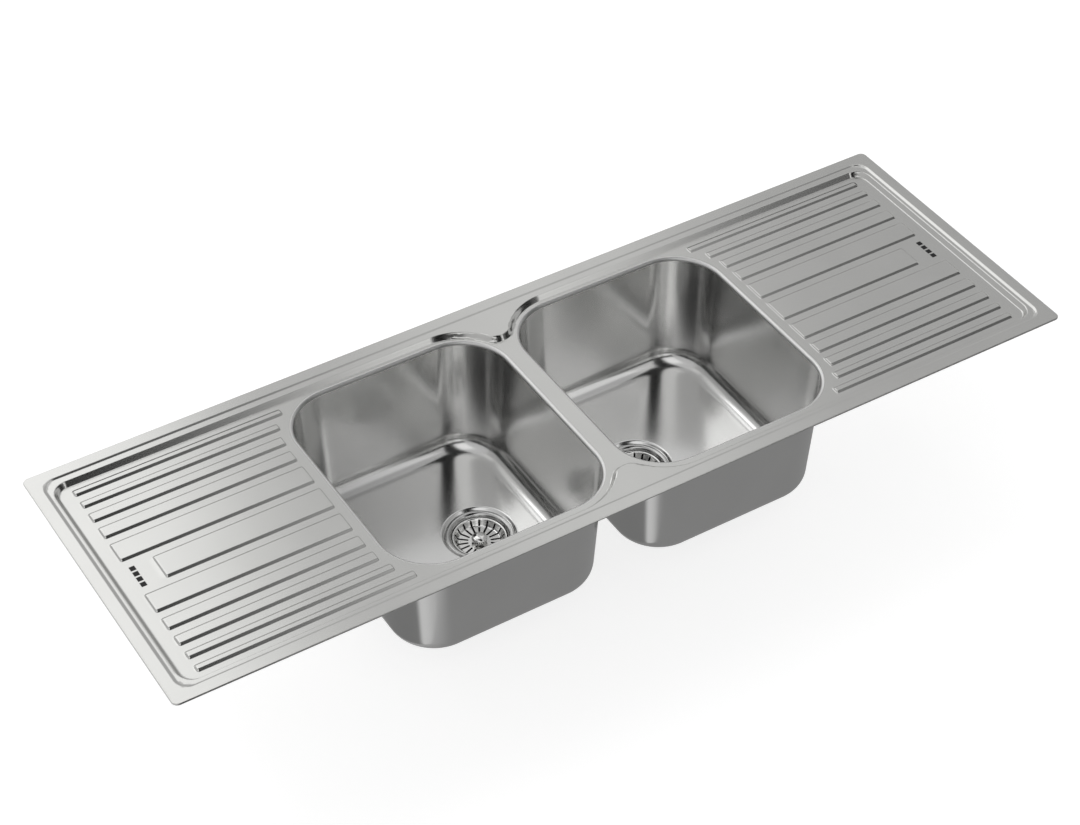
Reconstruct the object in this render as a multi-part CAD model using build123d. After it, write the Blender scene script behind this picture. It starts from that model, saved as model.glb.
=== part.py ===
from build123d import *
import os
from math import atan, cos, hypot, pi, radians, sin, sqrt, tan

# Double bowl kitchen sink with a ribbed drainer at each side, in millimetres.
# Origin: middle of the sink on the plane of the worktop. +X right, +Y back, +Z up.

# --- pressed deck ---
LENGTH = 1500.0
WIDTH = 500.0
CORNER_RADIUS = 10.0
SHEET = 1.0
EDGE_LIP = 1.5
STEP_INSET = 20.0
STEP_RUN = 2.0
STEP_DROP = 1.5
STEP_CORNER_RADIUS = 22.0
PAN_DROP = 7.5
PAN_SLOPE_RUN = 5.5
PAN_END_INSET = 28.5
PAN_BACK_INSET = 33.0
PAN_FRONT_INSET = 29.0
PAN_CORNER_RADIUS = 20.0
LEDGE_TIP_RADIUS = 30.0

# --- bowls ---
BOWL_LENGTH = 352.0
BOWL_EDGE_CLEARANCE = 49.0
BOWL_BRIDGE = 37.0
BOWL_CORNER_RADIUS = 80.0
BOWL_FLOOR_CORNER_RADIUS = 72.0
BOWL_DEPTH = 211.5
BOWL_TAPER = 11.0
FLOOR_FILLET = 29.0
LIP_ROLL = 5.0
LIP_SKIRT = 3.0

# --- drainer ribs, from the front edge of the pan to its back edge ---
RIB_WIDTHS = [12.7, 14.2, 19.6, 24.0, 38.8, 46.5, 38.8, 24.0, 19.6, 14.2, 12.7]
RIB_EDGE_CLEARANCE = 11.45
RIB_HEIGHT = 2.5
RIB_SLOPE_RUN = 2.2
RIB_CORNER_RADIUS = 4.0
RIB_OUTER_CLEARANCE = 21.0
RIB_MIDDLE_SETBACK = 41.0
RIB_BOWL_CLEARANCE = 20.0
RIB_CORNER_CLEARANCE = 13.0

# --- foam strip under the rim ---
SEAL_HEIGHT = 2.0
SEAL_INSET = 2.0
SEAL_WIDTH = 7.0
SEAL_INNER_RADIUS = 2.0

# --- sound deadening pads under the bowls ---
PAD_LENGTH = 90.0
PAD_WIDTH = 140.0
PAD_THICKNESS = 2.0
PAD_WASTE_CLEARANCE = 16.0
PAD_CORNER_RADIUS = 8.0

# --- waste: seat in the bowl floor, strainer cup, plastic body ---
WASTE_OFFSET = 52.5
WASTE_HOLE_RADIUS = 45.0
DISH_RADIUS = 54.0
DISH_DEPTH = 4.0
DISH_RUN = 4.0
UPPER_GASKET = 1.0
UPPER_GASKET_OUTER = 50.5
GASKET_HOLE_GAP = 1.5
LOWER_GASKET = 2.0
FLANGE_RADIUS = 52.0
FLANGE_THICKNESS = 1.0
FLANGE_LIP_GAP = 0.3
CUP_RADIUS = 42.5
CUP_WALL = 0.8
CUP_DEPTH = 26.0
DRAIN_SLOTS = 8
DRAIN_SLOT_WIDTH = 5.0
DRAIN_SLOT_INNER = 12.0
DRAIN_SLOT_OUTER = 30.0
BODY_RIM_RADIUS = 58.0
BODY_RIM_THICKNESS = 4.0
BODY_WALL = 3.0
BODY_CUP_GAP = 5.5
BODY_DEPTH = 30.5
OUTLET_RADIUS = 23.9
OUTLET_WALL = 3.9
OUTLET_LENGTH = 44.0
BOSS_RADIUS = 7.0
BOSS_TOP_GAP = 1.0
BOSS_LENGTH = 24.0
BOSS_WEBS = 3
BOSS_WEB_THICKNESS = 3.0
WASTE_SCREW_RADIUS = 2.9
WASTE_SCREW_LENGTH = 21.0
WASTE_SCREW_HEAD_RADIUS = 7.0
WASTE_SCREW_HEAD = 6.0
SCREW_HOLE_GAP = 0.5
SCREW_THREAD_GAP = 0.05
SOCKET_DEPTH = 5.0

# --- lift-out strainer basket ---
BASKET_RIM_GAP = 0.5
BASKET_RIM_DROP = 5.5
BASKET_RIM_LAND = 2.0
BASKET_WALL = 0.8
BASKET_DEPTH = 11.0
BASKET_FLOOR_RADIUS = 31.0
BASKET_SLOTS = 18
BASKET_SLOT_WIDTH = 3.2
BASKET_SLOT_INNER = 17.0
BASKET_SLOT_LAND = 3.0
KNOB_RADIUS = 10.5
KNOB_HEIGHT = 12.5
KNOB_NECK_RADIUS = 5.0
KNOB_NECK = 5.0
KNOB_ROUNDING = 4.0
KNOB_SOCKET_DEPTH = 9.0
STOPPER_RADIUS = 36.0
STOPPER_THICKNESS = 3.0
STOPPER_HUB_RADIUS = 12.0
STOPPER_SCREW_GAP = 1.5
STEM_RADIUS = 3.0
STEM_GAP = 0.05
STEM_SOCKET_GAP = 0.3
STEM_END_GAP = 0.5

# --- worktop clips under the rim ---
CLIP_EDGE_GAP = 0.3
CLIP_FOOT = 5.0
CLIP_SHEET = 1.5
CLIP_SPACING = 200.0
CLIP_END_CLEARANCE = 100.0
CLIPS_PER_DRAINER = 2
PIN_RADIUS = 2.0
PIN_DROP = 17.0
PIN_EAR_GAP = 0.03
PIN_HEAD_RADIUS = 3.0
PIN_HEAD = 1.0
EAR_RADIUS = 4.5
CLAW_PIN_GAP = 0.06
CLAW_EYE_RADIUS = 4.0
CLAW_WIDTH = 8.0
CLAW_SIDE_GAP = 0.5
CLAW_THICKNESS = 2.5
CLAW_LENGTH = 46.0
CLAW_CRANK_START = 9.0
CLAW_CRANK_END = 15.0
CLAW_CRANK_DROP = 5.0
CLAW_TOOTH = 4.0
CLAW_BOSS_RADIUS = 4.5
CLAW_BOSS = 3.0
CLAMP_SCREW_REACH = 35.0
CLAMP_SCREW_RADIUS = 2.5
CLAMP_SCREW_GAP = 0.04
CLAMP_SCREW_LENGTH = 26.0
CLAMP_SCREW_HEAD_RADIUS = 4.2
CLAMP_SCREW_HEAD = 3.0
CLAMP_SCREW_TRAVEL = 8.0
DRIVE_SLOT_WIDTH = 1.2
DRIVE_SLOT_DEPTH = 1.2

# --- how far cutting shapes run past what they cut ---
CUT_MARGIN = 1.0

# --- heights and places that follow from the sizes above ---
RIM_TOP = SEAL_HEIGHT + SHEET
BAND_TOP = RIM_TOP - STEP_DROP
PAN_TOP = BAND_TOP - PAN_DROP
WELD_HEIGHT = PAN_TOP - LIP_ROLL - LIP_SKIRT
FLOOR_TOP = RIM_TOP - BOWL_DEPTH
FLOOR_UNDER = FLOOR_TOP - SHEET
DISH_TOP = FLOOR_TOP - DISH_DEPTH
DISH_UNDER = DISH_TOP - SHEET
BOWL_WIDTH = WIDTH - 2 * BOWL_EDGE_CLEARANCE
BOWL_CENTRE = (BOWL_LENGTH + BOWL_BRIDGE) / 2
BOWL_ARC_X = BOWL_CENTRE - BOWL_LENGTH / 2 + BOWL_CORNER_RADIUS
BOWL_ARC_Y = BOWL_WIDTH / 2 - BOWL_CORNER_RADIUS
PAN_WIDTH = WIDTH - PAN_BACK_INSET - PAN_FRONT_INSET - 2 * PAN_SLOPE_RUN
RIB_SPACE = PAN_WIDTH - 2 * RIB_EDGE_CLEARANCE - sum(RIB_WIDTHS)
RIB_GAP = RIB_SPACE / (len(RIB_WIDTHS) - 1)
WASTE_X = BOWL_CENTRE - WASTE_OFFSET
FLANGE_TOP = DISH_TOP + UPPER_GASKET + FLANGE_THICKNESS
CUP_INNER = CUP_RADIUS - CUP_WALL
CUP_UNDER = FLANGE_TOP - CUP_DEPTH
CUP_FLOOR = CUP_UNDER + FLANGE_THICKNESS
BODY_TOP = DISH_UNDER - LOWER_GASKET
BODY_INNER = CUP_RADIUS + BODY_CUP_GAP
BODY_OUTER = BODY_INNER + BODY_WALL
BODY_UNDER = BODY_TOP - BODY_DEPTH
OUTLET_INNER = OUTLET_RADIUS - OUTLET_WALL
OUTLET_END = BODY_UNDER - OUTLET_LENGTH
BOSS_TOP = CUP_UNDER - BOSS_TOP_GAP
SCREW_HEAD_TOP = CUP_FLOOR + WASTE_SCREW_HEAD
BASKET_RIM_TOP = FLANGE_TOP - BASKET_RIM_DROP
BASKET_RADIUS = CUP_INNER - BASKET_RIM_GAP
BASKET_UNDER = BASKET_RIM_TOP - BASKET_DEPTH
BASKET_FLOOR = BASKET_UNDER + BASKET_WALL
SOCKET_RADIUS = STEM_RADIUS + STEM_SOCKET_GAP
CLIP_INSET = STEP_INSET + STEP_RUN + CLIP_EDGE_GAP + CLIP_FOOT / 2
CLIP_TOP = BAND_TOP - SHEET
PIN_HEIGHT = CLIP_TOP - PIN_DROP
EAR_INNER = CLAW_WIDTH / 2 + CLAW_SIDE_GAP
EAR_OUTER = EAR_INNER + CLIP_SHEET
CLAW_TOP = PIN_HEIGHT - CLAW_CRANK_DROP + CLAW_THICKNESS / 2


def save(node, *solids):
    """Write one sub-part, made of one or more solids, to its own file."""
    shape = solids[0] if len(solids) == 1 else Compound(children=list(solids))
    export_step(shape, f"parts/{node}.step")


def rounded_plate(length, width, radius, low, high, x=0.0, y=0.0):
    """Upright plate of rounded rectangular outline between two heights."""
    outline = RectangleRounded(length, width, radius)
    return Pos(x, y, low) * extrude(outline, high - low)


def tapered_plate(low_size, high_size, low, high, x=0.0, y=0.0):
    """Plate whose rounded outline, given as (length, width, radius), changes between two heights."""
    sections = [
        Pos(x, y, height) * RectangleRounded(*size)
        for size, height in ((low_size, low), (high_size, high))
    ]
    return loft(sections, ruled=True)


def turned(points, x=0.0, y=0.0):
    """Body of revolution about a vertical axis from (radius, height) points."""
    profile = Plane.XZ * make_face(Polyline(*points, close=True))
    return Pos(x, y, 0) * revolve(profile, Axis.Z)


def ring(inner, outer, low, high, x=0.0, y=0.0):
    """Plain ring or tube with a vertical axis."""
    return turned([(inner, low), (outer, low), (outer, high), (inner, high)], x, y)


def disc(radius, low, high, x=0.0, y=0.0):
    """Upright cylinder between two heights."""
    return Pos(x, y, (low + high) / 2) * Cylinder(radius, high - low)


def skin_shift(rise, run, depth):
    """How far a bend line moves sideways on a skin that lies depth inside the metal."""
    return depth * tan(atan(rise / run) / 2)


# --------------------------------------------------------------------- deck


def pan_outline(grow, height):
    """Edge of the recessed pan, moved outwards by grow: lines, four corners and two ledge tips."""
    left = -LENGTH / 2 + PAN_END_INSET + PAN_SLOPE_RUN - grow
    back = WIDTH / 2 - PAN_BACK_INSET - PAN_SLOPE_RUN + grow
    front = -WIDTH / 2 + PAN_FRONT_INSET + PAN_SLOPE_RUN - grow
    corner = PAN_CORNER_RADIUS + grow
    slant = sin(radians(45)) * corner
    edges = []

    def ledge(edge_y):
        """Arc round a bowl corner, the ledge's rounded tip, and the mirrored arc, left to right."""
        way = 1 if edge_y > 0 else -1
        arc_y = way * BOWL_ARC_Y
        sweep = abs(edge_y) - BOWL_ARC_Y
        tip_radius = LEDGE_TIP_RADIUS - grow
        spread = sweep + tip_radius
        rise = sqrt(spread**2 - BOWL_ARC_X**2)
        share = sweep / spread
        join = (-BOWL_ARC_X + BOWL_ARC_X * share, arc_y + way * rise * share)
        half = atan(rise / BOWL_ARC_X) / 2 + pi / 4
        middle = (-BOWL_ARC_X + sweep * cos(half), arc_y + way * sweep * sin(half))
        start = (-BOWL_ARC_X, edge_y)
        tip = (0.0, arc_y + way * (rise - tip_radius))
        far_start, far_middle, far_join = [(-x, y) for x, y in (start, middle, join)]
        return [
            ThreePointArc(start, middle, join),
            ThreePointArc(join, tip, far_join),
            ThreePointArc(far_join, far_middle, far_start),
        ]

    for edge_y in (back, front):
        way = 1 if edge_y > 0 else -1
        centre_y = edge_y - way * corner
        run = [
            ThreePointArc(
                (left, centre_y),
                (left + corner - slant, centre_y + way * slant),
                (left + corner, edge_y),
            ),
            Line((left + corner, edge_y), (-BOWL_ARC_X, edge_y)),
            *ledge(edge_y),
            Line((BOWL_ARC_X, edge_y), (-left - corner, edge_y)),
            ThreePointArc(
                (-left - corner, edge_y),
                (-left - corner + slant, centre_y + way * slant),
                (-left, centre_y),
            ),
        ]
        edges.extend(run)
    for side in (left, -left):
        edges.append(Line((side, back - corner), (side, front + corner)))
    return Pos(0, 0, height) * make_face(Wire(edges))


def rib_places():
    """Front and back edge of each rib, and its outer and inner end on the right drainer."""
    low = -WIDTH / 2 + PAN_FRONT_INSET + PAN_SLOPE_RUN + RIB_EDGE_CLEARANCE
    outer = LENGTH / 2 - PAN_END_INSET - PAN_SLOPE_RUN - RIB_OUTER_CLEARANCE
    bowl_end = BOWL_CENTRE + BOWL_LENGTH / 2
    arc_x = bowl_end - BOWL_CORNER_RADIUS
    reach = BOWL_CORNER_RADIUS + LIP_ROLL + RIB_CORNER_CLEARANCE
    middle = len(RIB_WIDTHS) // 2
    places = []
    for number, width in enumerate(RIB_WIDTHS):
        inner = bowl_end + RIB_BOWL_CLEARANCE
        nearest = min(abs(low), abs(low + width)) - BOWL_ARC_Y
        if nearest > 0:
            rounded_end = arc_x + sqrt(max(reach**2 - nearest**2, 0.0))
            inner = min(inner, rounded_end)
        end = outer - RIB_MIDDLE_SETBACK if number == middle else outer
        places.append((low, low + width, inner, end))
        low += width + RIB_GAP
    return places


def rib(front, back, inner, outer, side, depth):
    """One raised rib of the drainer, on the skin that lies depth inside the metal."""
    shift = skin_shift(RIB_HEIGHT, RIB_SLOPE_RUN, depth)
    sizes = []
    for shrink in (shift, shift + RIB_SLOPE_RUN):
        length = outer - inner - 2 * shrink
        width = back - front - 2 * shrink
        sizes.append((length, width, RIB_CORNER_RADIUS - shrink / 2))
    base = PAN_TOP - depth
    place = (side * (inner + outer) / 2, (front + back) / 2)
    return tapered_plate(sizes[0], sizes[1], base, base + RIB_HEIGHT, *place)


def bowl_edges(solid, height):
    """Edges round both bowl openings on the flat of the pan."""
    reach = BOWL_WIDTH / 2 + LIP_ROLL

    def on_opening(edge):
        box = edge.bounding_box()
        flat = abs(box.min.Z - height) < 1e-4 and abs(box.max.Z - height) < 1e-4
        near_x = max(abs(box.min.X), abs(box.max.X)) < BOWL_CENTRE + BOWL_LENGTH / 2 + LIP_ROLL
        near_y = max(abs(box.min.Y), abs(box.max.Y)) < reach
        off_middle = min(abs(box.min.X), abs(box.max.X)) > LIP_ROLL
        return flat and near_x and near_y and off_middle

    return solid.edges().filter_by(on_opening)


def pressed_mass(depth):
    """Everything below the pressed skin that lies depth inside the metal."""
    bottom = WELD_HEIGHT - (CUT_MARGIN if depth else 0.0)
    mass = rounded_plate(
        LENGTH - 2 * depth,
        WIDTH - 2 * depth,
        CORNER_RADIUS - depth,
        bottom,
        RIM_TOP - depth,
    )
    shift = skin_shift(STEP_DROP, STEP_RUN, depth)
    step_sizes = []
    for inset in (STEP_INSET + STEP_RUN - shift, STEP_INSET - shift):
        radius = STEP_CORNER_RADIUS + STEP_INSET - inset
        step_sizes.append((LENGTH - 2 * inset, WIDTH - 2 * inset, radius))
    mass -= tapered_plate(step_sizes[0], step_sizes[1], BAND_TOP - depth, RIM_TOP - depth)
    shift = skin_shift(PAN_DROP, PAN_SLOPE_RUN, depth)
    low = pan_outline(shift, PAN_TOP - depth)
    high = pan_outline(shift + PAN_SLOPE_RUN, BAND_TOP - depth)
    mass -= loft([low, high], ruled=True)
    for side in (-1, 1):
        mass -= rounded_plate(
            BOWL_LENGTH + 2 * depth,
            BOWL_WIDTH + 2 * depth,
            BOWL_CORNER_RADIUS + depth,
            bottom - CUT_MARGIN,
            RIM_TOP,
            side * BOWL_CENTRE,
        )
    mass = fillet(bowl_edges(mass, PAN_TOP - depth), LIP_ROLL - depth)
    ribs = [rib(*place, side, depth) for place in rib_places() for side in (-1, 1)]
    return mass + ribs


def sink_deck():
    """Pressed steel deck: rim, step, pan with ribs, and a rolled lip round each bowl opening."""
    sheet = pressed_mass(0.0) - pressed_mass(SHEET)
    lip_end = RIM_TOP - SHEET - EDGE_LIP
    low = WELD_HEIGHT - CUT_MARGIN
    outside = CORNER_RADIUS + CUT_MARGIN
    surround = rounded_plate(
        LENGTH + 2 * CUT_MARGIN, WIDTH + 2 * CUT_MARGIN, outside, low, lip_end
    )
    inset = SHEET + (SEAL_INSET - SHEET) / 2
    kept = rounded_plate(
        LENGTH - 2 * inset, WIDTH - 2 * inset, CORNER_RADIUS - inset, low, lip_end
    )
    return sheet - (surround - kept)


# -------------------------------------------------------------------- bowls


def bowl_outline(height, depth):
    """Length, width and corner radius of the bowl at a height, on the skin depth outside."""
    share = (WELD_HEIGHT - height) / (WELD_HEIGHT - FLOOR_TOP)
    drawn_in = BOWL_TAPER * share - depth
    loss = (BOWL_CORNER_RADIUS - BOWL_FLOOR_CORNER_RADIUS) * share - depth
    return BOWL_LENGTH - 2 * drawn_in, BOWL_WIDTH - 2 * drawn_in, BOWL_CORNER_RADIUS - loss


def bowl_skin(depth, side):
    """Solid inside the bowl's skin, with its floor fillet and the dish for the waste."""
    floor = FLOOR_TOP - depth
    low, high = bowl_outline(floor, depth), bowl_outline(WELD_HEIGHT, depth)
    skin = tapered_plate(low, high, floor, WELD_HEIGHT, side * BOWL_CENTRE)
    rim_of_floor = skin.faces().sort_by(Axis.Z)[0].edges()
    skin = fillet(rim_of_floor, FLOOR_FILLET + depth)
    grow = skin_shift(DISH_DEPTH, DISH_RUN, depth)
    dish = turned(
        [
            (0, floor - DISH_DEPTH),
            (DISH_RADIUS + grow, floor - DISH_DEPTH),
            (DISH_RADIUS + DISH_RUN + grow, floor),
            (DISH_RADIUS + DISH_RUN + grow, floor + SHEET / 2),
            (0, floor + SHEET / 2),
        ],
        side * WASTE_X,
    )
    return skin + dish


def bowl(side):
    """Deep drawn bowl with a round hole for the waste, open at the weld under the deck's lip."""
    shell = bowl_skin(SHEET, side) - bowl_skin(0.0, side)
    return shell - disc(WASTE_HOLE_RADIUS, DISH_UNDER - CUT_MARGIN, FLOOR_TOP, side * WASTE_X)


def sound_pad(side):
    """Deadening pad stuck under the bowl floor, beside the waste."""
    inner_end = WASTE_X + DISH_RADIUS + DISH_RUN + PAD_WASTE_CLEARANCE
    return rounded_plate(
        PAD_LENGTH,
        PAD_WIDTH,
        PAD_CORNER_RADIUS,
        FLOOR_UNDER - PAD_THICKNESS,
        FLOOR_UNDER,
        side * (inner_end + PAD_LENGTH / 2),
    )


def rim_seal():
    """Foam strip between the rim and the worktop."""
    outer = (LENGTH - 2 * SEAL_INSET, WIDTH - 2 * SEAL_INSET, CORNER_RADIUS - SEAL_INSET)
    inner_inset = SEAL_INSET + SEAL_WIDTH
    inner = (LENGTH - 2 * inner_inset, WIDTH - 2 * inner_inset, SEAL_INNER_RADIUS)
    return rounded_plate(*outer, 0, SEAL_HEIGHT) - rounded_plate(*inner, 0, SEAL_HEIGHT)


# -------------------------------------------------------------------- waste


def radial_slots(count, inner, outer, width, low, high, x):
    """Cutters for slots with rounded ends that run outwards from the middle."""
    length = outer - inner
    slot = extrude(SlotOverall(length, width), high - low)
    slot = Pos((inner + outer) / 2, 0, low) * slot
    return [Pos(x, 0, 0) * Rot(0, 0, 360 / count * n) * slot for n in range(count)]


def waste_flange(x):
    """Steel flange and strainer cup, slotted at the bottom."""
    under = FLANGE_TOP - FLANGE_THICKNESS
    cup = turned(
        [
            (WASTE_SCREW_RADIUS + SCREW_HOLE_GAP, CUP_UNDER),
            (CUP_RADIUS, CUP_UNDER),
            (CUP_RADIUS, under),
            (FLANGE_RADIUS - CUP_WALL, under),
            (FLANGE_RADIUS - CUP_WALL, DISH_TOP + FLANGE_LIP_GAP),
            (FLANGE_RADIUS, DISH_TOP + FLANGE_LIP_GAP),
            (FLANGE_RADIUS, FLANGE_TOP - CUP_WALL / 2),
            (FLANGE_RADIUS - CUP_WALL / 2, FLANGE_TOP),
            (CUP_INNER + CUP_WALL, FLANGE_TOP),
            (CUP_INNER, FLANGE_TOP - CUP_WALL),
            (CUP_INNER, CUP_FLOOR),
            (WASTE_SCREW_RADIUS + SCREW_HOLE_GAP, CUP_FLOOR),
        ],
        x,
    )
    return cup - radial_slots(
        DRAIN_SLOTS,
        DRAIN_SLOT_INNER,
        DRAIN_SLOT_OUTER,
        DRAIN_SLOT_WIDTH,
        CUP_UNDER - CUT_MARGIN,
        CUP_FLOOR + CUT_MARGIN,
        x,
    )


def waste_body(x):
    """Plastic body under the bowl: rim, cup, outlet spigot, and a webbed boss for the screw."""
    shell = turned(
        [
            (BODY_INNER, BODY_TOP),
            (BODY_RIM_RADIUS, BODY_TOP),
            (BODY_RIM_RADIUS, BODY_TOP - BODY_RIM_THICKNESS),
            (BODY_OUTER, BODY_TOP - BODY_RIM_THICKNESS),
            (BODY_OUTER, BODY_UNDER),
            (OUTLET_RADIUS, BODY_UNDER),
            (OUTLET_RADIUS, OUTLET_END),
            (OUTLET_INNER, OUTLET_END),
            (OUTLET_INNER, BODY_UNDER + BODY_WALL),
            (BODY_INNER, BODY_UNDER + BODY_WALL),
        ],
        x,
    )
    boss_end = BOSS_TOP - BOSS_LENGTH
    bore = WASTE_SCREW_RADIUS + SCREW_THREAD_GAP
    shell += ring(bore, BOSS_RADIUS, boss_end, BOSS_TOP, x)
    overlap = OUTLET_WALL / 2
    reach = OUTLET_INNER + overlap - (BOSS_RADIUS + bore) / 2
    web_height = BODY_UNDER - boss_end
    web = Box(reach, BOSS_WEB_THICKNESS, web_height)
    web = Pos((BOSS_RADIUS + bore) / 2 + reach / 2, 0, boss_end + web_height / 2) * web
    for number in range(BOSS_WEBS):
        shell += Pos(x, 0, 0) * Rot(0, 0, 360 / BOSS_WEBS * number) * web
    return shell


def waste_screw(x):
    """Centre screw that draws the cup and the body together, with a socket for the basket's stem."""
    tip = CUP_FLOOR - WASTE_SCREW_LENGTH
    return turned(
        [
            (0, tip),
            (WASTE_SCREW_RADIUS, tip),
            (WASTE_SCREW_RADIUS, CUP_FLOOR),
            (WASTE_SCREW_HEAD_RADIUS, CUP_FLOOR),
            (WASTE_SCREW_HEAD_RADIUS, SCREW_HEAD_TOP),
            (SOCKET_RADIUS, SCREW_HEAD_TOP),
            (SOCKET_RADIUS, SCREW_HEAD_TOP - SOCKET_DEPTH),
            (0, SCREW_HEAD_TOP - SOCKET_DEPTH),
        ],
        x,
    )


def basket(x):
    """Conical strainer basket with radial slots that leave narrow petals."""
    stem_hole = STEM_RADIUS + STEM_GAP
    dish = turned(
        [
            (stem_hole, BASKET_UNDER),
            (BASKET_FLOOR_RADIUS, BASKET_UNDER),
            (BASKET_RADIUS - BASKET_RIM_LAND, BASKET_RIM_TOP - BASKET_WALL),
            (BASKET_RADIUS, BASKET_RIM_TOP - BASKET_WALL),
            (BASKET_RADIUS, BASKET_RIM_TOP),
            (BASKET_RADIUS - BASKET_RIM_LAND - BASKET_WALL / 2, BASKET_RIM_TOP),
            (BASKET_FLOOR_RADIUS - BASKET_WALL / 2, BASKET_FLOOR),
            (stem_hole, BASKET_FLOOR),
        ],
        x,
    )
    return dish - radial_slots(
        BASKET_SLOTS,
        BASKET_SLOT_INNER,
        BASKET_RADIUS - BASKET_SLOT_LAND,
        BASKET_SLOT_WIDTH,
        BASKET_UNDER - CUT_MARGIN,
        BASKET_RIM_TOP + CUT_MARGIN,
        x,
    )


def basket_knob(x):
    """Domed lifting knob on a short neck."""
    top = BASKET_FLOOR + KNOB_HEIGHT
    neck_top = BASKET_FLOOR + KNOB_NECK
    knob = disc(KNOB_NECK_RADIUS, BASKET_FLOOR, neck_top, x)
    dome = disc(KNOB_RADIUS, neck_top, top, x)
    dome = fillet(dome.edges().sort_by(Axis.Z)[-1], KNOB_ROUNDING)
    socket_top = BASKET_FLOOR + KNOB_SOCKET_DEPTH
    socket = disc(STEM_RADIUS + STEM_GAP, BASKET_FLOOR - CUT_MARGIN, socket_top, x)
    return knob + dome - socket


def basket_stopper(x):
    """Rubber stopper under the basket that closes the cup when the basket is pushed home."""
    lip_top = CUP_FLOOR + STOPPER_THICKNESS
    clear = WASTE_SCREW_HEAD_RADIUS + STOPPER_SCREW_GAP
    crown = SCREW_HEAD_TOP + STOPPER_SCREW_GAP / 2
    return turned(
        [
            (clear, CUP_FLOOR),
            (STOPPER_RADIUS, CUP_FLOOR),
            (STOPPER_RADIUS, lip_top),
            (STOPPER_HUB_RADIUS, lip_top),
            (STOPPER_HUB_RADIUS, BASKET_UNDER),
            (STEM_RADIUS + STEM_GAP, BASKET_UNDER),
            (STEM_RADIUS + STEM_GAP, crown),
            (clear, crown),
        ],
        x,
    )


def basket_stem(x):
    """Stem that joins knob, basket and stopper and drops into the waste screw."""
    low = SCREW_HEAD_TOP - SOCKET_DEPTH + STEM_END_GAP
    return disc(STEM_RADIUS, low, BASKET_FLOOR + KNOB_SOCKET_DEPTH - STEM_END_GAP, x)


# -------------------------------------------------------------------- clips


def clip_places():
    """Name, position and inward direction of each worktop clip."""
    front_back = [0.0]
    for number in range(CLIPS_PER_DRAINER):
        away = LENGTH / 2 - CLIP_END_CLEARANCE - number * CLIP_SPACING
        front_back.extend((-away, away))
    front_back.sort()
    y = WIDTH / 2 - CLIP_INSET
    x = LENGTH / 2 - CLIP_INSET
    places = [(f"front_{n + 1}", along, -y, 90) for n, along in enumerate(front_back)]
    places += [(f"back_{n + 1}", along, y, -90) for n, along in enumerate(front_back)]
    places += [("left", -x, 0.0, 0), ("right", x, 0.0, 180)]
    return places


def at_clip(place, solid):
    """Solid drawn with +X inwards and the pin along Y, moved to one clip."""
    _, x, y, turn = place
    return Pos(x, y, 0) * Rot(0, 0, turn) * solid


def cross_pin(radius, half_length, middle=0.0):
    """Cylinder along Y through the clip's pin centre."""
    return Pos(0, middle, PIN_HEIGHT) * Rot(90, 0, 0) * Cylinder(radius, 2 * half_length)


def clip_bracket():
    """Folded bracket: a foot under the rim and two ears for the pin."""
    foot = Pos(0, 0, CLIP_TOP - CLIP_SHEET / 2) * Box(CLIP_FOOT, 2 * EAR_OUTER, CLIP_SHEET)
    bracket = foot
    for way in (-1, 1):
        middle = way * (EAR_INNER + EAR_OUTER) / 2
        drop = CLIP_TOP - PIN_HEIGHT
        strip = Pos(0, middle, PIN_HEIGHT + drop / 2) * Box(CLIP_FOOT, CLIP_SHEET, drop)
        bracket += strip
        bracket += cross_pin(EAR_RADIUS, CLIP_SHEET / 2, middle)
    return bracket - cross_pin(PIN_RADIUS + PIN_EAR_GAP, EAR_OUTER + CUT_MARGIN)


def clip_pin():
    """Riveted hinge pin through both ears."""
    pin = cross_pin(PIN_RADIUS, EAR_OUTER)
    for way in (-1, 1):
        pin += cross_pin(PIN_HEAD_RADIUS, PIN_HEAD / 2, way * (EAR_OUTER + PIN_HEAD / 2))
    return pin


def clip_claw():
    """Cranked claw that swings on the pin, with a tooth at its end and a tapped boss."""
    half = CLAW_THICKNESS / 2
    low = PIN_HEIGHT - CLAW_CRANK_DROP
    slope = hypot(CLAW_CRANK_END - CLAW_CRANK_START, CLAW_CRANK_DROP)
    shift = half * (slope - (CLAW_CRANK_END - CLAW_CRANK_START)) / CLAW_CRANK_DROP
    outline = [
        (0, PIN_HEIGHT + half),
        (CLAW_CRANK_START + shift, PIN_HEIGHT + half),
        (CLAW_CRANK_END + shift, low + half),
        (CLAW_LENGTH, low + half),
        (CLAW_LENGTH, low - half - CLAW_TOOTH),
        (CLAW_LENGTH - CLAW_THICKNESS, low - half - CLAW_TOOTH / 2),
        (CLAW_LENGTH - CLAW_THICKNESS, low - half),
        (CLAW_CRANK_END - shift, low - half),
        (CLAW_CRANK_START - shift, PIN_HEIGHT - half),
        (0, PIN_HEIGHT - half),
    ]
    side = Plane.XZ * make_face(Polyline(*outline, close=True))
    claw = extrude(side, CLAW_WIDTH / 2, both=True)
    claw += cross_pin(CLAW_EYE_RADIUS, CLAW_WIDTH / 2)
    claw += disc(CLAW_BOSS_RADIUS, low - half - CLAW_BOSS, low + half, CLAMP_SCREW_REACH)
    claw -= cross_pin(PIN_RADIUS + CLAW_PIN_GAP, CLAW_WIDTH)
    hole = CLAMP_SCREW_RADIUS + CLAMP_SCREW_GAP
    return claw - disc(hole, low - CLAW_LENGTH, low + CLAW_LENGTH, CLAMP_SCREW_REACH)


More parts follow.
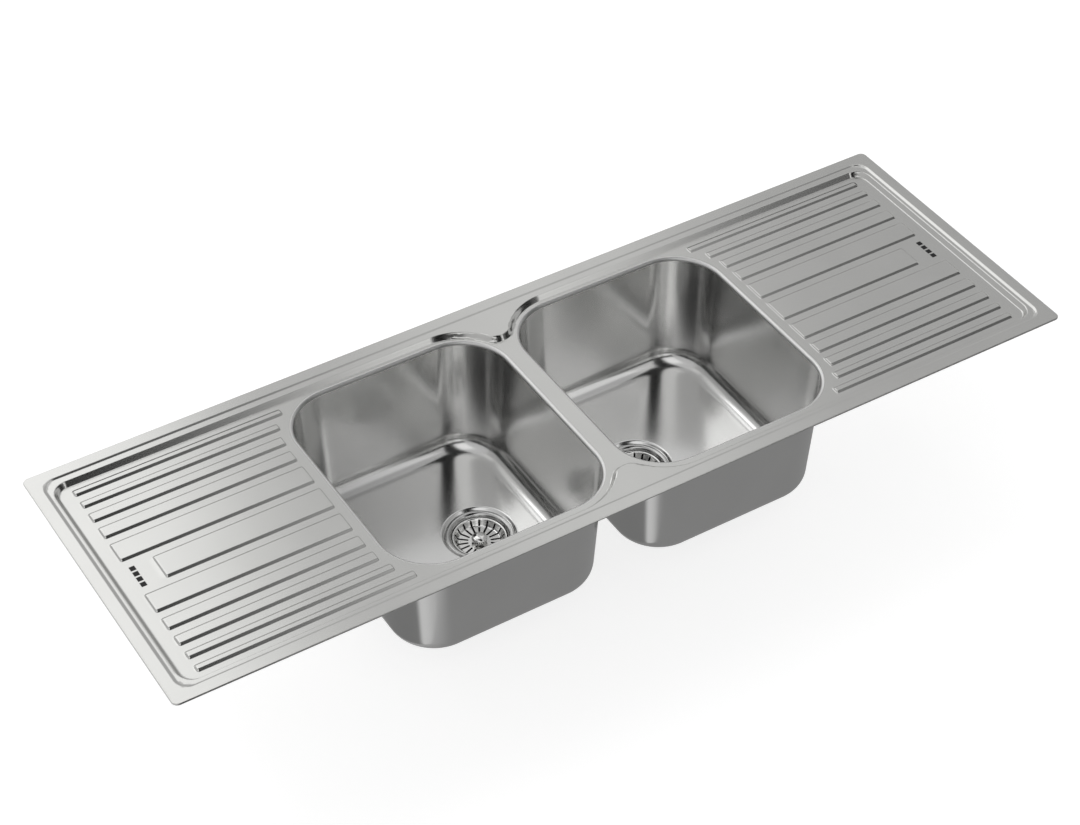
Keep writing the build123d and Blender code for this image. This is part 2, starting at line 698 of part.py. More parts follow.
def clamp_screw():
    """Slotted screw that closes the claw on the worktop's underside."""
    seat = CLAW_TOP + CLAMP_SCREW_TRAVEL
    shank = disc(CLAMP_SCREW_RADIUS, seat - CLAMP_SCREW_LENGTH, seat, CLAMP_SCREW_REACH)
    head = disc(CLAMP_SCREW_HEAD_RADIUS, seat, seat + CLAMP_SCREW_HEAD, CLAMP_SCREW_REACH)
    slot = Box(3 * CLAMP_SCREW_HEAD_RADIUS, DRIVE_SLOT_WIDTH, DRIVE_SLOT_DEPTH)
    slot_height = seat + CLAMP_SCREW_HEAD - DRIVE_SLOT_DEPTH / 2
    return shank + head - Pos(CLAMP_SCREW_REACH, 0, slot_height) * slot


# ----------------------------------------------------------------- assembly


def main():
    """Build and write every sub-part."""
    os.makedirs("parts", exist_ok=True)
    save("sink_deck", sink_deck())
    save("rim_seal", rim_seal())
    gasket_inner = WASTE_HOLE_RADIUS + GASKET_HOLE_GAP
    for name, side in (("left", -1), ("right", 1)):
        x = side * WASTE_X
        flange_under = FLANGE_TOP - FLANGE_THICKNESS
        save(f"{name}_bowl", bowl(side))
        save(f"{name}_sound_pad", sound_pad(side))
        save(f"{name}_waste_flange", waste_flange(x))
        save(
            f"{name}_waste_upper_gasket",
            ring(gasket_inner, UPPER_GASKET_OUTER, DISH_TOP, flange_under, x),
        )
        save(
            f"{name}_waste_lower_gasket",
            ring(gasket_inner, BODY_RIM_RADIUS, BODY_TOP, DISH_UNDER, x),
        )
        save(f"{name}_waste_body", waste_body(x))
        save(f"{name}_waste_screw", waste_screw(x))
        save(f"{name}_basket", basket(x))
        save(f"{name}_basket_knob", basket_knob(x))
        save(f"{name}_basket_stopper", basket_stopper(x))
        save(f"{name}_basket_stem", basket_stem(x))
    places = clip_places()
    bracket, pin, claw, screw = clip_bracket(), clip_pin(), clip_claw(), clamp_screw()
    save("clip_brackets", *[at_clip(place, bracket) for place in places])
    save("clip_pins", *[at_clip(place, pin) for place in places])
    for place in places:
        save(f"clip_claw_{place[0]}", at_clip(place, claw))
        save(f"clip_screw_{place[0]}", at_clip(place, screw))


main()
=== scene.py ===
"""Double bowl kitchen sink with a ribbed drainer at each side, dressed for display.

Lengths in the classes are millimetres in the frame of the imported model; meshes are metres.
"""
import logging
import math
from collections.abc import Callable
from dataclasses import dataclass, field
from enum import Enum

import bpy
import numpy as np
from mathutils import Matrix, Vector


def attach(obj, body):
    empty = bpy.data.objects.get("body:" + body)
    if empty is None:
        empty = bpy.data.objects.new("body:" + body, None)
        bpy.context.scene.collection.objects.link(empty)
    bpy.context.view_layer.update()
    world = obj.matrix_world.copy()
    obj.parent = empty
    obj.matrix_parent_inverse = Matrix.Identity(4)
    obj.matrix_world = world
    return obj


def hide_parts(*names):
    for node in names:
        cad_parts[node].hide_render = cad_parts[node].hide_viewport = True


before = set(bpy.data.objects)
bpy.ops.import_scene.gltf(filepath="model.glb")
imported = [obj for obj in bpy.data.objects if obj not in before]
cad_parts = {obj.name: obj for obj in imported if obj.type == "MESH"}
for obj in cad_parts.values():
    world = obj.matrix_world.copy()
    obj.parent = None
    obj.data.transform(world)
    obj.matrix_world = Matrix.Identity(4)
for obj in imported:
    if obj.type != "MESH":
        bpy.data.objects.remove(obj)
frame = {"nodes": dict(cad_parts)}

LOG = logging.getLogger("sink")
MM = 0.001
WHITE = (1.0, 1.0, 1.0, 1.0)
CLOSEST_LINES = 0.12
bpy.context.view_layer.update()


# ------------------------------------------------------------------ surfaces


def bend(share: np.ndarray, soft: float = 0.3) -> np.ndarray:
    """S-shaped ramp from 0 to 1: a straight line with a parabola at each end.

    Args:
        share: place along the ramp, clipped to 0..1.
        soft: share of the ramp that each parabola takes.

    Returns:
        Height along the ramp, 0..1.
    """
    t = np.clip(share, 0.0, 1.0)
    slope = 1.0 / (1.0 - soft)
    low = slope * t * t / (2 * soft)
    middle = slope * (t - soft / 2)
    high = 1.0 - slope * (1 - t) ** 2 / (2 * soft)
    return np.where(t < soft, low, np.where(t > 1 - soft, high, middle))


def quarter(count: int) -> np.ndarray:
    """Evenly spread angles from 0 to a quarter turn."""
    return np.linspace(0, math.pi / 2, count)


def outline_distance(
    x: np.ndarray, y: np.ndarray, half_x: float, half_y: float, radius: float
) -> np.ndarray:
    """Signed distance to a rounded rectangle about the origin, negative inside.

    With q = |p| - half + radius, it is |max(q, 0)| + min(max(qx, qy), 0) - radius.

    Args:
        x: places along X.
        y: places along Y.
        half_x: half the length.
        half_y: half the width.
        radius: corner radius.

    Returns:
        Distance at each place.
    """
    qx = np.abs(x) - half_x + radius
    qy = np.abs(y) - half_y + radius
    outside = np.hypot(np.maximum(qx, 0.0), np.maximum(qy, 0.0))
    return outside + np.minimum(np.maximum(qx, qy), 0.0) - radius


def grid_lines(
    low: float, high: float, spans: list[tuple[float, float, float]], coarse: float
) -> np.ndarray:
    """Grid lines that are dense over given spans and open between them.

    Of two lines that are nearer than CLOSEST_LINES, in millimetres, one stays.

    Args:
        low: first line.
        high: last line.
        spans: start, end and step of each dense span.
        coarse: widest gap allowed anywhere.

    Returns:
        Sorted lines; the ends of the whole range and of the spans are among them.
    """
    marks = [np.array([low, high])]
    for start, end, step in spans:
        count = max(int(round(abs(end - start) / step)), 1) + 1
        marks.append(np.linspace(start, end, count))
    lines = np.unique(np.round(np.concatenate(marks), 3))
    lines = lines[(lines >= low) & (lines <= high)]
    gaps = np.diff(lines)
    lines = lines[np.concatenate([[True], gaps > CLOSEST_LINES])]
    lines[-1] = high
    filled = [
        np.linspace(a, b, max(int(math.ceil((b - a) / coarse)), 1) + 1)[:-1]
        for a, b in zip(lines[:-1], lines[1:])
    ]
    return np.concatenate([*filled, [high]])


def grid_quads(
    rows: int, columns: int, wrap_rows: bool = False, wrap_columns: bool = False
) -> np.ndarray:
    """Corner numbers of the cells of a grid of points stored row by row.

    Args:
        rows: number of rows.
        columns: number of points in a row.
        wrap_rows: join the last row to the first.
        wrap_columns: join the last point of a row to its first.

    Returns:
        Array of shape (cells, 4).
    """
    row = np.arange(rows if wrap_rows else rows - 1)
    column = np.arange(columns if wrap_columns else columns - 1)
    i, j = (a.ravel() for a in np.meshgrid(row, column, indexing="ij"))
    ni, nj = (i + 1) % rows, (j + 1) % columns
    corners = (i * columns + j, ni * columns + j, ni * columns + nj, i * columns + nj)
    return np.stack(corners, axis=1)


def packed_down(points: np.ndarray, quads: np.ndarray) -> tuple[np.ndarray, np.ndarray]:
    """Drop the points that no cell uses.

    Args:
        points: all points.
        quads: cells that stay.

    Returns:
        Kept points and renumbered cells.
    """
    used, numbers = np.unique(quads, return_inverse=True)
    return points[used], numbers.reshape(quads.shape)


def at_heights(flat: np.ndarray, z: np.ndarray) -> np.ndarray:
    """Loops of points in plan, each lifted to its own height.

    Args:
        flat: array of shape (loops, points, 2).
        z: height of each loop.

    Returns:
        Array of shape (loops, points, 3).
    """
    heights = np.broadcast_to(z[:, None, None], (*flat.shape[:2], 1))
    return np.concatenate([flat, heights], axis=2)


def slopes(
    surface: Callable[[np.ndarray, np.ndarray], np.ndarray], x: np.ndarray, y: np.ndarray
) -> tuple[np.ndarray, np.ndarray]:
    """Slopes of a surface along X and along Y, by central differences.

    Args:
        surface: height as a function of the two places.
        x: places along X.
        y: places along Y.

    Returns:
        Slope along X and slope along Y at each place.
    """
    probe = 0.01
    along = (surface(x + probe, y) - surface(x - probe, y)) / (2 * probe)
    across = (surface(x, y + probe) - surface(x, y - probe)) / (2 * probe)
    return along, across


def thickened(top: np.ndarray, under: np.ndarray, quads: np.ndarray) -> np.ndarray:
    """Closed cells between a top skin and the skin under it, with walls at open edges.

    Args:
        top: points of the top skin.
        under: the matching points of the lower skin.
        quads: cells of the top skin, anticlockwise from outside.

    Returns:
        Cells that number the top points first and the lower points after them.
    """
    count = len(top)
    assert len(under) == count
    starts = quads.ravel()
    ends = np.roll(quads, -1, axis=1).ravel()
    keys = np.minimum(starts, ends) * count + np.maximum(starts, ends)
    _, place, uses = np.unique(keys, return_index=True, return_counts=True)
    edge = place[uses == 1]
    a, b = starts[edge], ends[edge]
    walls = np.stack([b, a, a + count, b + count], axis=1)
    return np.concatenate([quads, quads[:, ::-1] + count, walls])


def signed_volume(points: np.ndarray, quads: np.ndarray) -> float:
    """Volume inside closed cells, negative where they face inwards.

    Args:
        points: points of the mesh.
        quads: its cells.

    Returns:
        Sum over the triangles of a . (b x c) / 6.
    """
    a, b, c, d = (points[quads[:, k]] for k in range(4))
    first = np.einsum("ij,ij->i", a, np.cross(b, c))
    second = np.einsum("ij,ij->i", a, np.cross(c, d))
    return float((first + second).sum() / 6)


def make_piece(
    name: str,
    points: np.ndarray,
    quads: np.ndarray,
    finish: "Finish",
    body: str,
    nodes: tuple[str, ...],
    sharp: float = 50.0,
) -> bpy.types.Object:
    """Mesh object from points in millimetres, turned to face outwards, on its body.

    Args:
        name: name of the piece.
        points: points in millimetres.
        quads: closed cells.
        finish: material to wear.
        body: body that the piece rides on.
        nodes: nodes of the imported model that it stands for.
        sharp: angle in degrees over which an edge is shaded sharp.

    Returns:
        The new object.
    """
    if signed_volume(points, quads) < 0:
        quads = quads[:, ::-1]
    mesh = bpy.data.meshes.new(name)
    mesh.from_pydata((points * MM).tolist(), [], quads.tolist())
    mesh.polygons.foreach_set("use_smooth", np.ones(len(quads), dtype=bool))
    mesh.set_sharp_from_angle(angle=math.radians(sharp))
    mesh.materials.append(finish.material())
    mesh.validate()
    mesh.update()
    piece = bpy.data.objects.new(name, mesh)
    bpy.context.scene.collection.objects.link(piece)
    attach(piece, body)
    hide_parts(*nodes)
    LOG.info("%s: %d faces on %s", name, len(quads), body)
    return piece


@dataclass(frozen=True)
class Loop:
    """Rounded rectangular loop of points, the same number at every size."""

    corner_steps: int
    long_steps: int
    short_steps: int

    def points(self, half_x: np.ndarray, half_y: np.ndarray, radius: np.ndarray) -> np.ndarray:
        """Loops of the given sizes about the origin.

        Each corner is (sign * (half - r)) + r (cos a, sin a); the straights are divided evenly.

        Args:
            half_x: half length of each loop.
            half_y: half width of each loop.
            radius: corner radius of each loop.

        Returns:
            Array of shape (loops, points, 2), anticlockwise.
        """
        turn = quarter(self.corner_steps + 1)
        angle = np.concatenate([turn + number * math.pi / 2 for number in range(4)])
        sign_x = np.repeat([1, -1, -1, 1], self.corner_steps + 1)
        sign_y = np.repeat([1, 1, -1, -1], self.corner_steps + 1)
        half_x, half_y, radius = (np.asarray(v, float)[:, None] for v in (half_x, half_y, radius))
        x = sign_x * (half_x - radius) + radius * np.cos(angle)
        y = sign_y * (half_y - radius) + radius * np.sin(angle)
        corners = np.stack([x, y], axis=2)
        first, share = [], []
        for number, steps in enumerate((self.long_steps, self.short_steps) * 2):
            start = number * (self.corner_steps + 1)
            first.append(np.arange(start, start + self.corner_steps + 1))
            share.append(np.zeros(self.corner_steps + 1))
            first.append(np.full(steps - 1, start + self.corner_steps))
            share.append(np.arange(1, steps) / steps)
        index = np.concatenate(first)
        weight = np.concatenate(share)[None, :, None]
        following = (index + 1) % corners.shape[1]
        return corners[:, index] * (1 - weight) + corners[:, following] * weight


# ------------------------------------------------------------------ finishes


class Grain(Enum):
    """Which way the fine lines of a finish run."""

    LENGTHWISE = (12.0, 1600.0, 1600.0)
    UPRIGHT = (1100.0, 1100.0, 12.0)
    EVEN = (600.0, 600.0, 600.0)


class Nodes:
    """Short way to add and join shader nodes in one tree."""

    def __init__(self, tree: bpy.types.NodeTree) -> None:
        """Clear the tree and keep it."""
        self.tree = tree
        tree.nodes.clear()

    def add(self, kind: str, settings: dict | None = None, **values: object) -> bpy.types.Node:
        """New node.

        Args:
            kind: class name of the node.
            settings: attributes to set on it.
            values: input sockets by name, with spaces as underscores; a socket is joined.

        Returns:
            The node.
        """
        node = self.tree.nodes.new(kind)
        for key, value in (settings or {}).items():
            setattr(node, key, value)
        for key, value in values.items():
            self.feed(node.inputs[key.replace("_", " ")], value)
        return node

    def feed(self, socket: bpy.types.NodeSocket, value: object) -> None:
        """Join an output to the socket, or set the socket's own value."""
        if isinstance(value, bpy.types.NodeSocket):
            self.tree.links.new(value, socket)
        else:
            socket.default_value = value

    def math(self, operation: str, *values: object) -> bpy.types.NodeSocket:
        """Output of a Math node whose inputs are numbers or outputs."""
        node = self.tree.nodes.new("ShaderNodeMath")
        node.operation = operation
        for socket, value in zip(node.inputs, values):
            self.feed(socket, value)
        return node.outputs[0]

    def ramp(
        self, value: object, low: float, high: float, to_low: float, to_high: float
    ) -> bpy.types.NodeSocket:
        """Value carried smoothly from one range to another and held at the ends."""
        node = self.tree.nodes.new("ShaderNodeMapRange")
        node.interpolation_type = "SMOOTHSTEP"
        for number, item in enumerate((value, low, high, to_low, to_high)):
            self.feed(node.inputs[number], item)
        return node.outputs[0]

    def noise(self, place: object, scale: float, detail: float = 2.0) -> bpy.types.NodeSocket:
        """Noise between 0 and 1 at a place."""
        node = self.add("ShaderNodeTexNoise", Vector=place, Scale=scale, Detail=detail)
        return node.outputs[0]

    def stretched(self, place: object, stretch: tuple[float, float, float]) -> bpy.types.NodeSocket:
        """Place multiplied along each axis."""
        return self.add("ShaderNodeMapping", Vector=place, Scale=stretch).outputs[0]

    def tint(self, share: object, dark: tuple, light: tuple) -> bpy.types.NodeSocket:
        """Colour between two tones."""
        node = self.add("ShaderNodeMix", {"data_type": "RGBA"})
        self.feed(node.inputs[0], share)
        node.inputs[6].default_value = (*dark, 1.0)
        node.inputs[7].default_value = (*light, 1.0)
        return node.outputs[2]

    def glow(self, strength: object) -> bpy.types.NodeSocket:
        """White glow of a given strength."""
        return self.add("ShaderNodeEmission", Color=WHITE, Strength=strength).outputs[0]

    def show(self, shader: bpy.types.NodeSocket, output: str = "ShaderNodeOutputMaterial") -> None:
        """Join a shader to a new output node."""
        self.feed(self.add(output).inputs["Surface"], shader)

    def show_one_side(self, shader: bpy.types.NodeSocket) -> None:
        """Show a shader on a sheet's front and nothing on its back."""
        clear = self.add("ShaderNodeBsdfTransparent", Color=WHITE)
        both = self.add("ShaderNodeMixShader")
        self.feed(both.inputs[0], self.add("ShaderNodeNewGeometry").outputs["Backfacing"])
        self.feed(both.inputs[1], shader)
        self.feed(both.inputs[2], clear.outputs[0])
        self.show(both.outputs[0])


def new_material(name: str) -> tuple[bpy.types.Material, Nodes]:
    """Empty node material.

    Args:
        name: its name.

    Returns:
        The material and the helper for its tree.
    """
    made = bpy.data.materials.new(name)
    made.use_nodes = True
    return made, Nodes(made.node_tree)


@dataclass(frozen=True)
class Finish:
    """Base of every finish: a material of its own name, made once, and a slot name, which is not
    used.
    """

    name: str
    slot: str

    def material(self) -> bpy.types.Material:
        """The finish's material, built on first use."""
        known = bpy.data.materials.get(self.name)
        if known:
            return known
        made, nodes = new_material(self.name)
        shader = nodes.add("ShaderNodeBsdfPrincipled")
        nodes.show(shader.outputs[0])
        place = nodes.add("ShaderNodeTexCoord").outputs["Object"]
        self.dress(nodes, shader, place)
        return made

    def dress(self, nodes: Nodes, shader: bpy.types.Node, place: bpy.types.NodeSocket) -> None:
        """Set up the shader; each kind of finish does this its own way."""
        raise NotImplementedError


@dataclass(frozen=True)
class Steel(Finish):
    """Stainless steel with fine grain lines, faint clouding and a little relief.

    Attributes:
        tone: colour of the metal.
        roughness: middle of its roughness.
        grain: which way the lines run.
        streak: how far the lines sway the roughness.
        cloud: how far the clouds sway the tone.
        cloud_scale: how fine the clouds are.
        mist: how far the clouds sway the roughness.
        relief: strength of the lines' relief.
        drawn: stretch of the reflections across the lines, 0 for none.
        lip: levels between which a lip turns duller, equal for none.
        lip_rough: roughness that the lip gains.
        bars: middle and half sizes of each plain etched bar.
        bars_above: level from which the bars show, so that the underside has none.
        bar_fade: height over which they fade there.
        bar_edge: half the width of a bar's soft edge.
        bar_tone: colour of the bars.
        bar_rough: roughness that the bars gain.
    """

    tone: tuple[float, float, float]
    roughness: float
    grain: Grain
    streak: float = 0.06
    cloud: float = 0.012
    cloud_scale: float = 14.0
    mist: float = 0.012
    relief: float = 0.02
    drawn: float = 0.0
    lip: tuple[float, float] = (0.0, 0.0)
    lip_rough: float = 0.22
    bars: tuple[tuple[float, float, float, float], ...] = ()
    bars_above: float = -6.4
    bar_fade: float = 0.2
    bar_edge: float = 0.5
    bar_tone: tuple[float, float, float] = (0.05, 0.05, 0.05)
    bar_rough: float = 0.3

    def dress(self, nodes: Nodes, shader: bpy.types.Node, place: bpy.types.NodeSocket) -> None:
        """Grain drives roughness and bump, clouds drive the tone and a little roughness.

        Args:
            nodes: tree helper.
            shader: the principled shader.
            place: object coordinates in metres.
        """
        lines = nodes.noise(nodes.stretched(place, self.grain.value), 1.0)
        clouds = nodes.noise(place, self.cloud_scale, 3.0)
        dark = tuple(v * (1 - self.cloud) for v in self.tone)
        light = tuple(min(v * (1 + self.cloud), 1.0) for v in self.tone)
        colour = nodes.tint(nodes.ramp(clouds, 0.3, 0.7, 0.0, 1.0), dark, light)
        spread = nodes.math("MULTIPLY_ADD", lines, self.streak, self.roughness - self.streak / 2)
        mist = nodes.math("MULTIPLY_ADD", clouds, self.mist, -self.mist / 2)
        rough = nodes.math("ADD", spread, mist)
        if self.lip[1] != self.lip[0]:
            level = nodes.add("ShaderNodeSeparateXYZ", Vector=place).outputs[2]
            worn = nodes.ramp(level, self.lip[0] * MM, self.lip[1] * MM, 0.0, self.lip_rough)
            rough = nodes.math("ADD", rough, worn)
        if self.bars:
            etched = self.etched(nodes, place)
            node = nodes.add("ShaderNodeMix", {"data_type": "RGBA"})
            nodes.feed(node.inputs[0], etched)
            nodes.feed(node.inputs[6], colour)
            node.inputs[7].default_value = (*self.bar_tone, 1.0)
            colour = node.outputs[2]
            rough = nodes.math("MULTIPLY_ADD", etched, self.bar_rough, rough)
        nodes.feed(shader.inputs["Base Color"], colour)
        nodes.feed(shader.inputs["Roughness"], rough)
        shader.inputs["Metallic"].default_value = 1.0
        if self.drawn > 0:
            shader.inputs["Anisotropic"].default_value = self.drawn
            across = nodes.add("ShaderNodeCombineXYZ", X=0.0, Y=1.0, Z=0.0)
            nodes.feed(shader.inputs["Tangent"], across.outputs[0])
        bump = nodes.add("ShaderNodeBump", Strength=self.relief, Distance=MM, Height=lines)
        nodes.feed(shader.inputs["Normal"], bump.outputs[0])

    def etched(self, nodes: Nodes, place: bpy.types.NodeSocket) -> bpy.types.NodeSocket:
        """Mask of the plain etched bars: 1 inside each box, 0 outside.

        Args:
            nodes: tree helper.
            place: object coordinates in metres.

        Returns:
            Output with the mask.
        """
        axes = nodes.add("ShaderNodeSeparateXYZ", Vector=place)
        mask: object = 0.0
        for x, y, half_x, half_y in self.bars:
            inside: object = 1.0
            for axis, centre, half in zip(axes.outputs, (x, y), (half_x, half_y)):
                away = nodes.math("ABSOLUTE", nodes.math("SUBTRACT", axis, centre * MM))
                low, high = (half - self.bar_edge) * MM, (half + self.bar_edge) * MM
                share = nodes.ramp(away, low, high, 1.0, 0.0)
                inside = nodes.math("MULTIPLY", inside, share)
            mask = nodes.math("MAXIMUM", mask, inside)
        low, high = (self.bars_above - self.bar_fade) * MM, self.bars_above * MM
        return nodes.math("MULTIPLY", mask, nodes.ramp(axes.outputs[2], low, high, 0.0, 1.0))


@dataclass(frozen=True)
class Moulded(Finish):
    """Plastic, rubber, foam or coating with a grainy surface.

    Attributes:
        tone: middle colour.
        roughness: middle roughness.
        grain_scale: how fine the grain is.
        relief: strength of the grain's relief.
        cells: whether the grain is open cells.
        patch_scale: how fine the larger patches are.
        dimmest: share of the tone at the darkest places.
        brightest: share of the tone at the lightest places.
        sway: how far the patches sway the roughness.
    """

    tone: tuple[float, float, float]
    roughness: float
    grain_scale: float
    relief: float
    cells: bool = False
    patch_scale: float = 30.0
    dimmest: float = 0.8
    brightest: float = 1.15
    sway: float = 0.12

    def dress(self, nodes: Nodes, shader: bpy.types.Node, place: bpy.types.NodeSocket) -> None:
        """Grain or open cells drive tone, roughness and bump.

        Args:
            nodes: tree helper.
            shader: the principled shader.
            place: object coordinates in metres.
        """
        if self.cells:
            cells = nodes.add("ShaderNodeTexVoronoi", Vector=place, Scale=self.grain_scale)
            pattern = cells.outputs[0]
        else:
            pattern = nodes.noise(place, self.grain_scale, 4.0)
        patches = nodes.noise(place, self.patch_scale)
        share = nodes.math("MULTIPLY_ADD", pattern, 0.5, nodes.math("MULTIPLY", patches, 0.5))
        dark = tuple(v * self.dimmest for v in self.tone)
        light = tuple(min(v * self.brightest, 1.0) for v in self.tone)
        nodes.feed(shader.inputs["Base Color"], nodes.tint(share, dark, light))
        rough = nodes.math("MULTIPLY_ADD", patches, self.sway, self.roughness - self.sway / 2)
        nodes.feed(shader.inputs["Roughness"], rough)
        bump = nodes.add("ShaderNodeBump", Strength=self.relief, Distance=MM, Height=pattern)
        nodes.feed(shader.inputs["Normal"], bump.outputs[0])


DECK_STEEL = Steel(
    "deck satin steel", "deck_steel", (0.62, 0.62, 0.605), 0.19, Grain.LENGTHWISE,
    streak=0.02, relief=0.003, drawn=0.6,
    bars=tuple((x, y, 4.2, 4.4) for x in (-686.0, 686.0) for y in (-19.5, -7.8, 3.8, 15.5)),
)
BOWL_STEEL = Steel(
    "bowl drawn steel", "bowl_steel", (0.69, 0.69, 0.683), 0.185, Grain.UPRIGHT,
    streak=0.02, relief=0.001, lip=(-12.5, -10.0),
)
# Steel of the waste's cup, flange and stem, darker than the same metal in the basket: painted
# shade, so that the ring round the basket reads dark.
SHADED_WASTE_STEEL = Steel(
    "waste steel darkened for painted shade", "waste_steel", (0.50, 0.50, 0.495), 0.16, Grain.EVEN, relief=0.01
)
# Steel of the basket, lighter than the same metal in the waste: painted highlight, so that its
# petals read bright.
LIGHTENED_BASKET_STEEL = Steel(
    "basket steel lightened for painted highlight", "waste_steel", (0.82, 0.82, 0.81), 0.17, Grain.EVEN, relief=0.01
)
KNOB_STEEL = Steel(
    "knob polished steel", "bright_steel", (0.72, 0.72, 0.71), 0.09, Grain.EVEN, relief=0.005
)
CLIP_STEEL = Steel(
    "clip plated steel", "clip_steel", (0.55, 0.56, 0.58), 0.38, Grain.EVEN, cloud=0.12
)
FOAM = Moulded("rim closed cell foam", "foam", (0.045, 0.045, 0.048), 0.85, 900.0, 0.5, True)
RUBBER = Moulded("gasket rubber", "rubber", (0.025, 0.025, 0.026), 0.55, 700.0, 0.12)
PAD = Moulded("deadening pad", "pad", (0.06, 0.06, 0.065), 0.8, 260.0, 0.45)
PLASTIC = Moulded("waste moulded plastic", "waste_plastic", (0.62, 0.62, 0.61), 0.42, 900.0, 0.08)


# ---------------------------------------------------------------------- deck


@dataclass(frozen=True)
class DeckGrid:
    """How close the deck's grid lines stand at each of its forms, and how far past it they go.

    Attributes:
        step: gap at the step under the rim.
        step_out: reach past the step's line, outwards.
        step_in: reach past the step's line, inwards.
        slope: gap on the pan's slope.
        slope_past: reach past the slope at the back and the front.
        end_past: reach past the slope at the ends.
        corner: gap over the pan's corners.
        rib: gap at the edges of the ribs.
        rib_out: reach outwards from a rib's edge.
        rib_in: reach inwards from a rib's edge.
        rib_end_in: reach inwards from a rib's outer end.
        tip_out: reach outwards from the ribs' inner ends.
        tip_in: reach inwards from the ribs' inner ends.
        ledge: gap over the ledges between the bowls.
        band: gap beside the bowls' lips.
        across: widest gap across the deck.
        surround: widest gap along the bowls.
        drainer: widest gap along a drainer.
    """

    step: float = 0.5
    step_out: float = 2.3
    step_in: float = 4.3
    slope: float = 0.7
    slope_past: float = 0.9
    end_past: float = 1.0
    corner: float = 1.6
    rib: float = 0.6
    rib_out: float = 1.7
    rib_in: float = 3.9
    rib_end_in: float = 5.0
    tip_out: float = 1.0
    tip_in: float = 4.0
    ledge: float = 1.1
    band: float = 1.0
    across: float = 3.2
    surround: float = 3.5
    drainer: float = 8.0


@dataclass
class Deck:
    """Pressed deck: rim, step, recessed pan, ribs, and openings for two bowls.

    The ribs stand at both sides alike. Each slope is drawn out by its easing, a factor on
    its run, so that its edges are as soft as pressed sheet.

    The surround's plates meet the drainers' at the split, and all of them end one trim
    inside the outline, where the rolled edge takes over. A rolled edge or lip starts one
    tuck in under its plate and a tuck_drop lower, and keeps a hair off the plate's face.
    Upright, the sheet is nowhere more than its thickest factor thicker than when flat.
    """

    length: float = 1500.0
    width: float = 500.0
    corner: float = 10.0
    sheet: float = 1.0
    edge_lip: float = 1.5
    edge_roll: float = 1.4
    rim_top: float = 3.0
    step_inset: float = 20.0
    step_run: float = 2.0
    step_drop: float = 1.5
    step_corner: float = 22.0
    pan_drop: float = 7.5
    pan_run: float = 5.5
    pan_end: float = 28.5
    pan_back: float = 33.0
    pan_front: float = 29.0
    pan_corner: float = 20.0
    ledge_tip: float = 30.0
    bowl_length: float = 352.0
    bowl_width: float = 402.0
    bowl_spacing: float = 389.0
    bowl_corner: float = 80.0
    lip_roll: float = 5.0
    rib_widths: tuple[float, ...] = (
        12.7, 14.2, 19.6, 24.0, 38.8, 46.5, 38.8, 24.0, 19.6, 14.2, 12.7,
    )
    rib_edge: float = 11.45
    rib_height: float = 2.5
    rib_run: float = 2.2
    rib_corner: float = 4.0
    rib_outer: float = 21.0
    rib_setback: float = 41.0
    rib_bowl: float = 20.0
    rib_round: float = 13.0
    rib_tip_run: float = 2.2
    rib_tip_start: float = 4.5
    split: float = 430.0
    trim: float = 2.0
    tuck: float = 0.9
    tuck_drop: float = 0.06
    hair: float = 0.004
    edge_loop: Loop = Loop(corner_steps=10, long_steps=60, short_steps=24)
    thickest: float = 1.4
    pan_easing: float = 1.25
    pan_soft: float = 0.25
    step_easing: float = 2.8
    rib_easing: float = 2.4
    grid: DeckGrid = DeckGrid()
    ribs: list[tuple[float, float, float, float]] = field(init=False)

    def __post_init__(self) -> None:
        """Work out heights and rib places from the sizes."""
        self.band_top = self.rim_top - self.step_drop
        self.pan_top = self.band_top - self.pan_drop
        self.arc_x = self.bowl_spacing / 2 - self.bowl_length / 2 + self.bowl_corner
        self.arc_y = self.bowl_width / 2 - self.bowl_corner
        self.back = self.width / 2 - self.pan_back - self.pan_run
        self.front = -self.width / 2 + self.pan_front + self.pan_run
        self.end = self.length / 2 - self.pan_end - self.pan_run
        self.ribs = self.rib_places()

    def rib_places(self) -> list[tuple[float, float, float, float]]:
        """Front, back, inner end and outer end of each rib at the right-hand side."""
        space = self.back - self.front - 2 * self.rib_edge - sum(self.rib_widths)
        gap = space / (len(self.rib_widths) - 1)
        low = self.front + self.rib_edge
        bowl_end = (self.bowl_spacing + self.bowl_length) / 2
        reach = self.bowl_corner + self.lip_roll + self.rib_round
        places = []
        for number, width in enumerate(self.rib_widths):
            inner = bowl_end + self.rib_bowl
            nearest = min(abs(low), abs(low + width)) - self.arc_y
            if nearest > 0:
                rounded = bowl_end - self.bowl_corner + math.sqrt(max(reach**2 - nearest**2, 0.0))
                inner = min(inner, rounded)
            middle = number == len(self.rib_widths) // 2
            outer = self.end - self.rib_outer - (self.rib_setback if middle else 0.0)
            places.append((low, low + width, inner, outer))
            low += width + gap
        return places

    def pan_distance(self, x: np.ndarray, y: np.ndarray) -> np.ndarray:
        """Signed distance to the foot of the pan's slope, negative in the pan.

        It is a rounded rectangle, less a ledge at the back and one at the front, each
        between two arcs round the bowl corners and a round tip that touches both.

        Args:
            x: places along X.
            y: places along Y.

        Returns:
            Distance at each place.
        """
        middle = (self.back + self.front) / 2
        half_y = (self.back - self.front) / 2
        away = outline_distance(x, y - middle, self.end, half_y, self.pan_corner)
        for edge in (self.back, self.front):
            way = math.copysign(1.0, edge)
            sweep = abs(edge) - self.arc_y
            spread = sweep + self.ledge_tip
            rise = math.sqrt(spread**2 - self.arc_x**2)
            up = way * y - self.arc_y
            side = np.abs(x)
            ledge = np.hypot(side - self.arc_x, up) - sweep
            below = rise - up
            at_tip = (below > 0) & (side * rise < self.arc_x * below)
            ledge = np.where(at_tip, self.ledge_tip - np.hypot(side, below), ledge)
            near = (side < self.arc_x) & (up > 0)
            away = np.where(near, np.maximum(away, ledge), away)
        return away

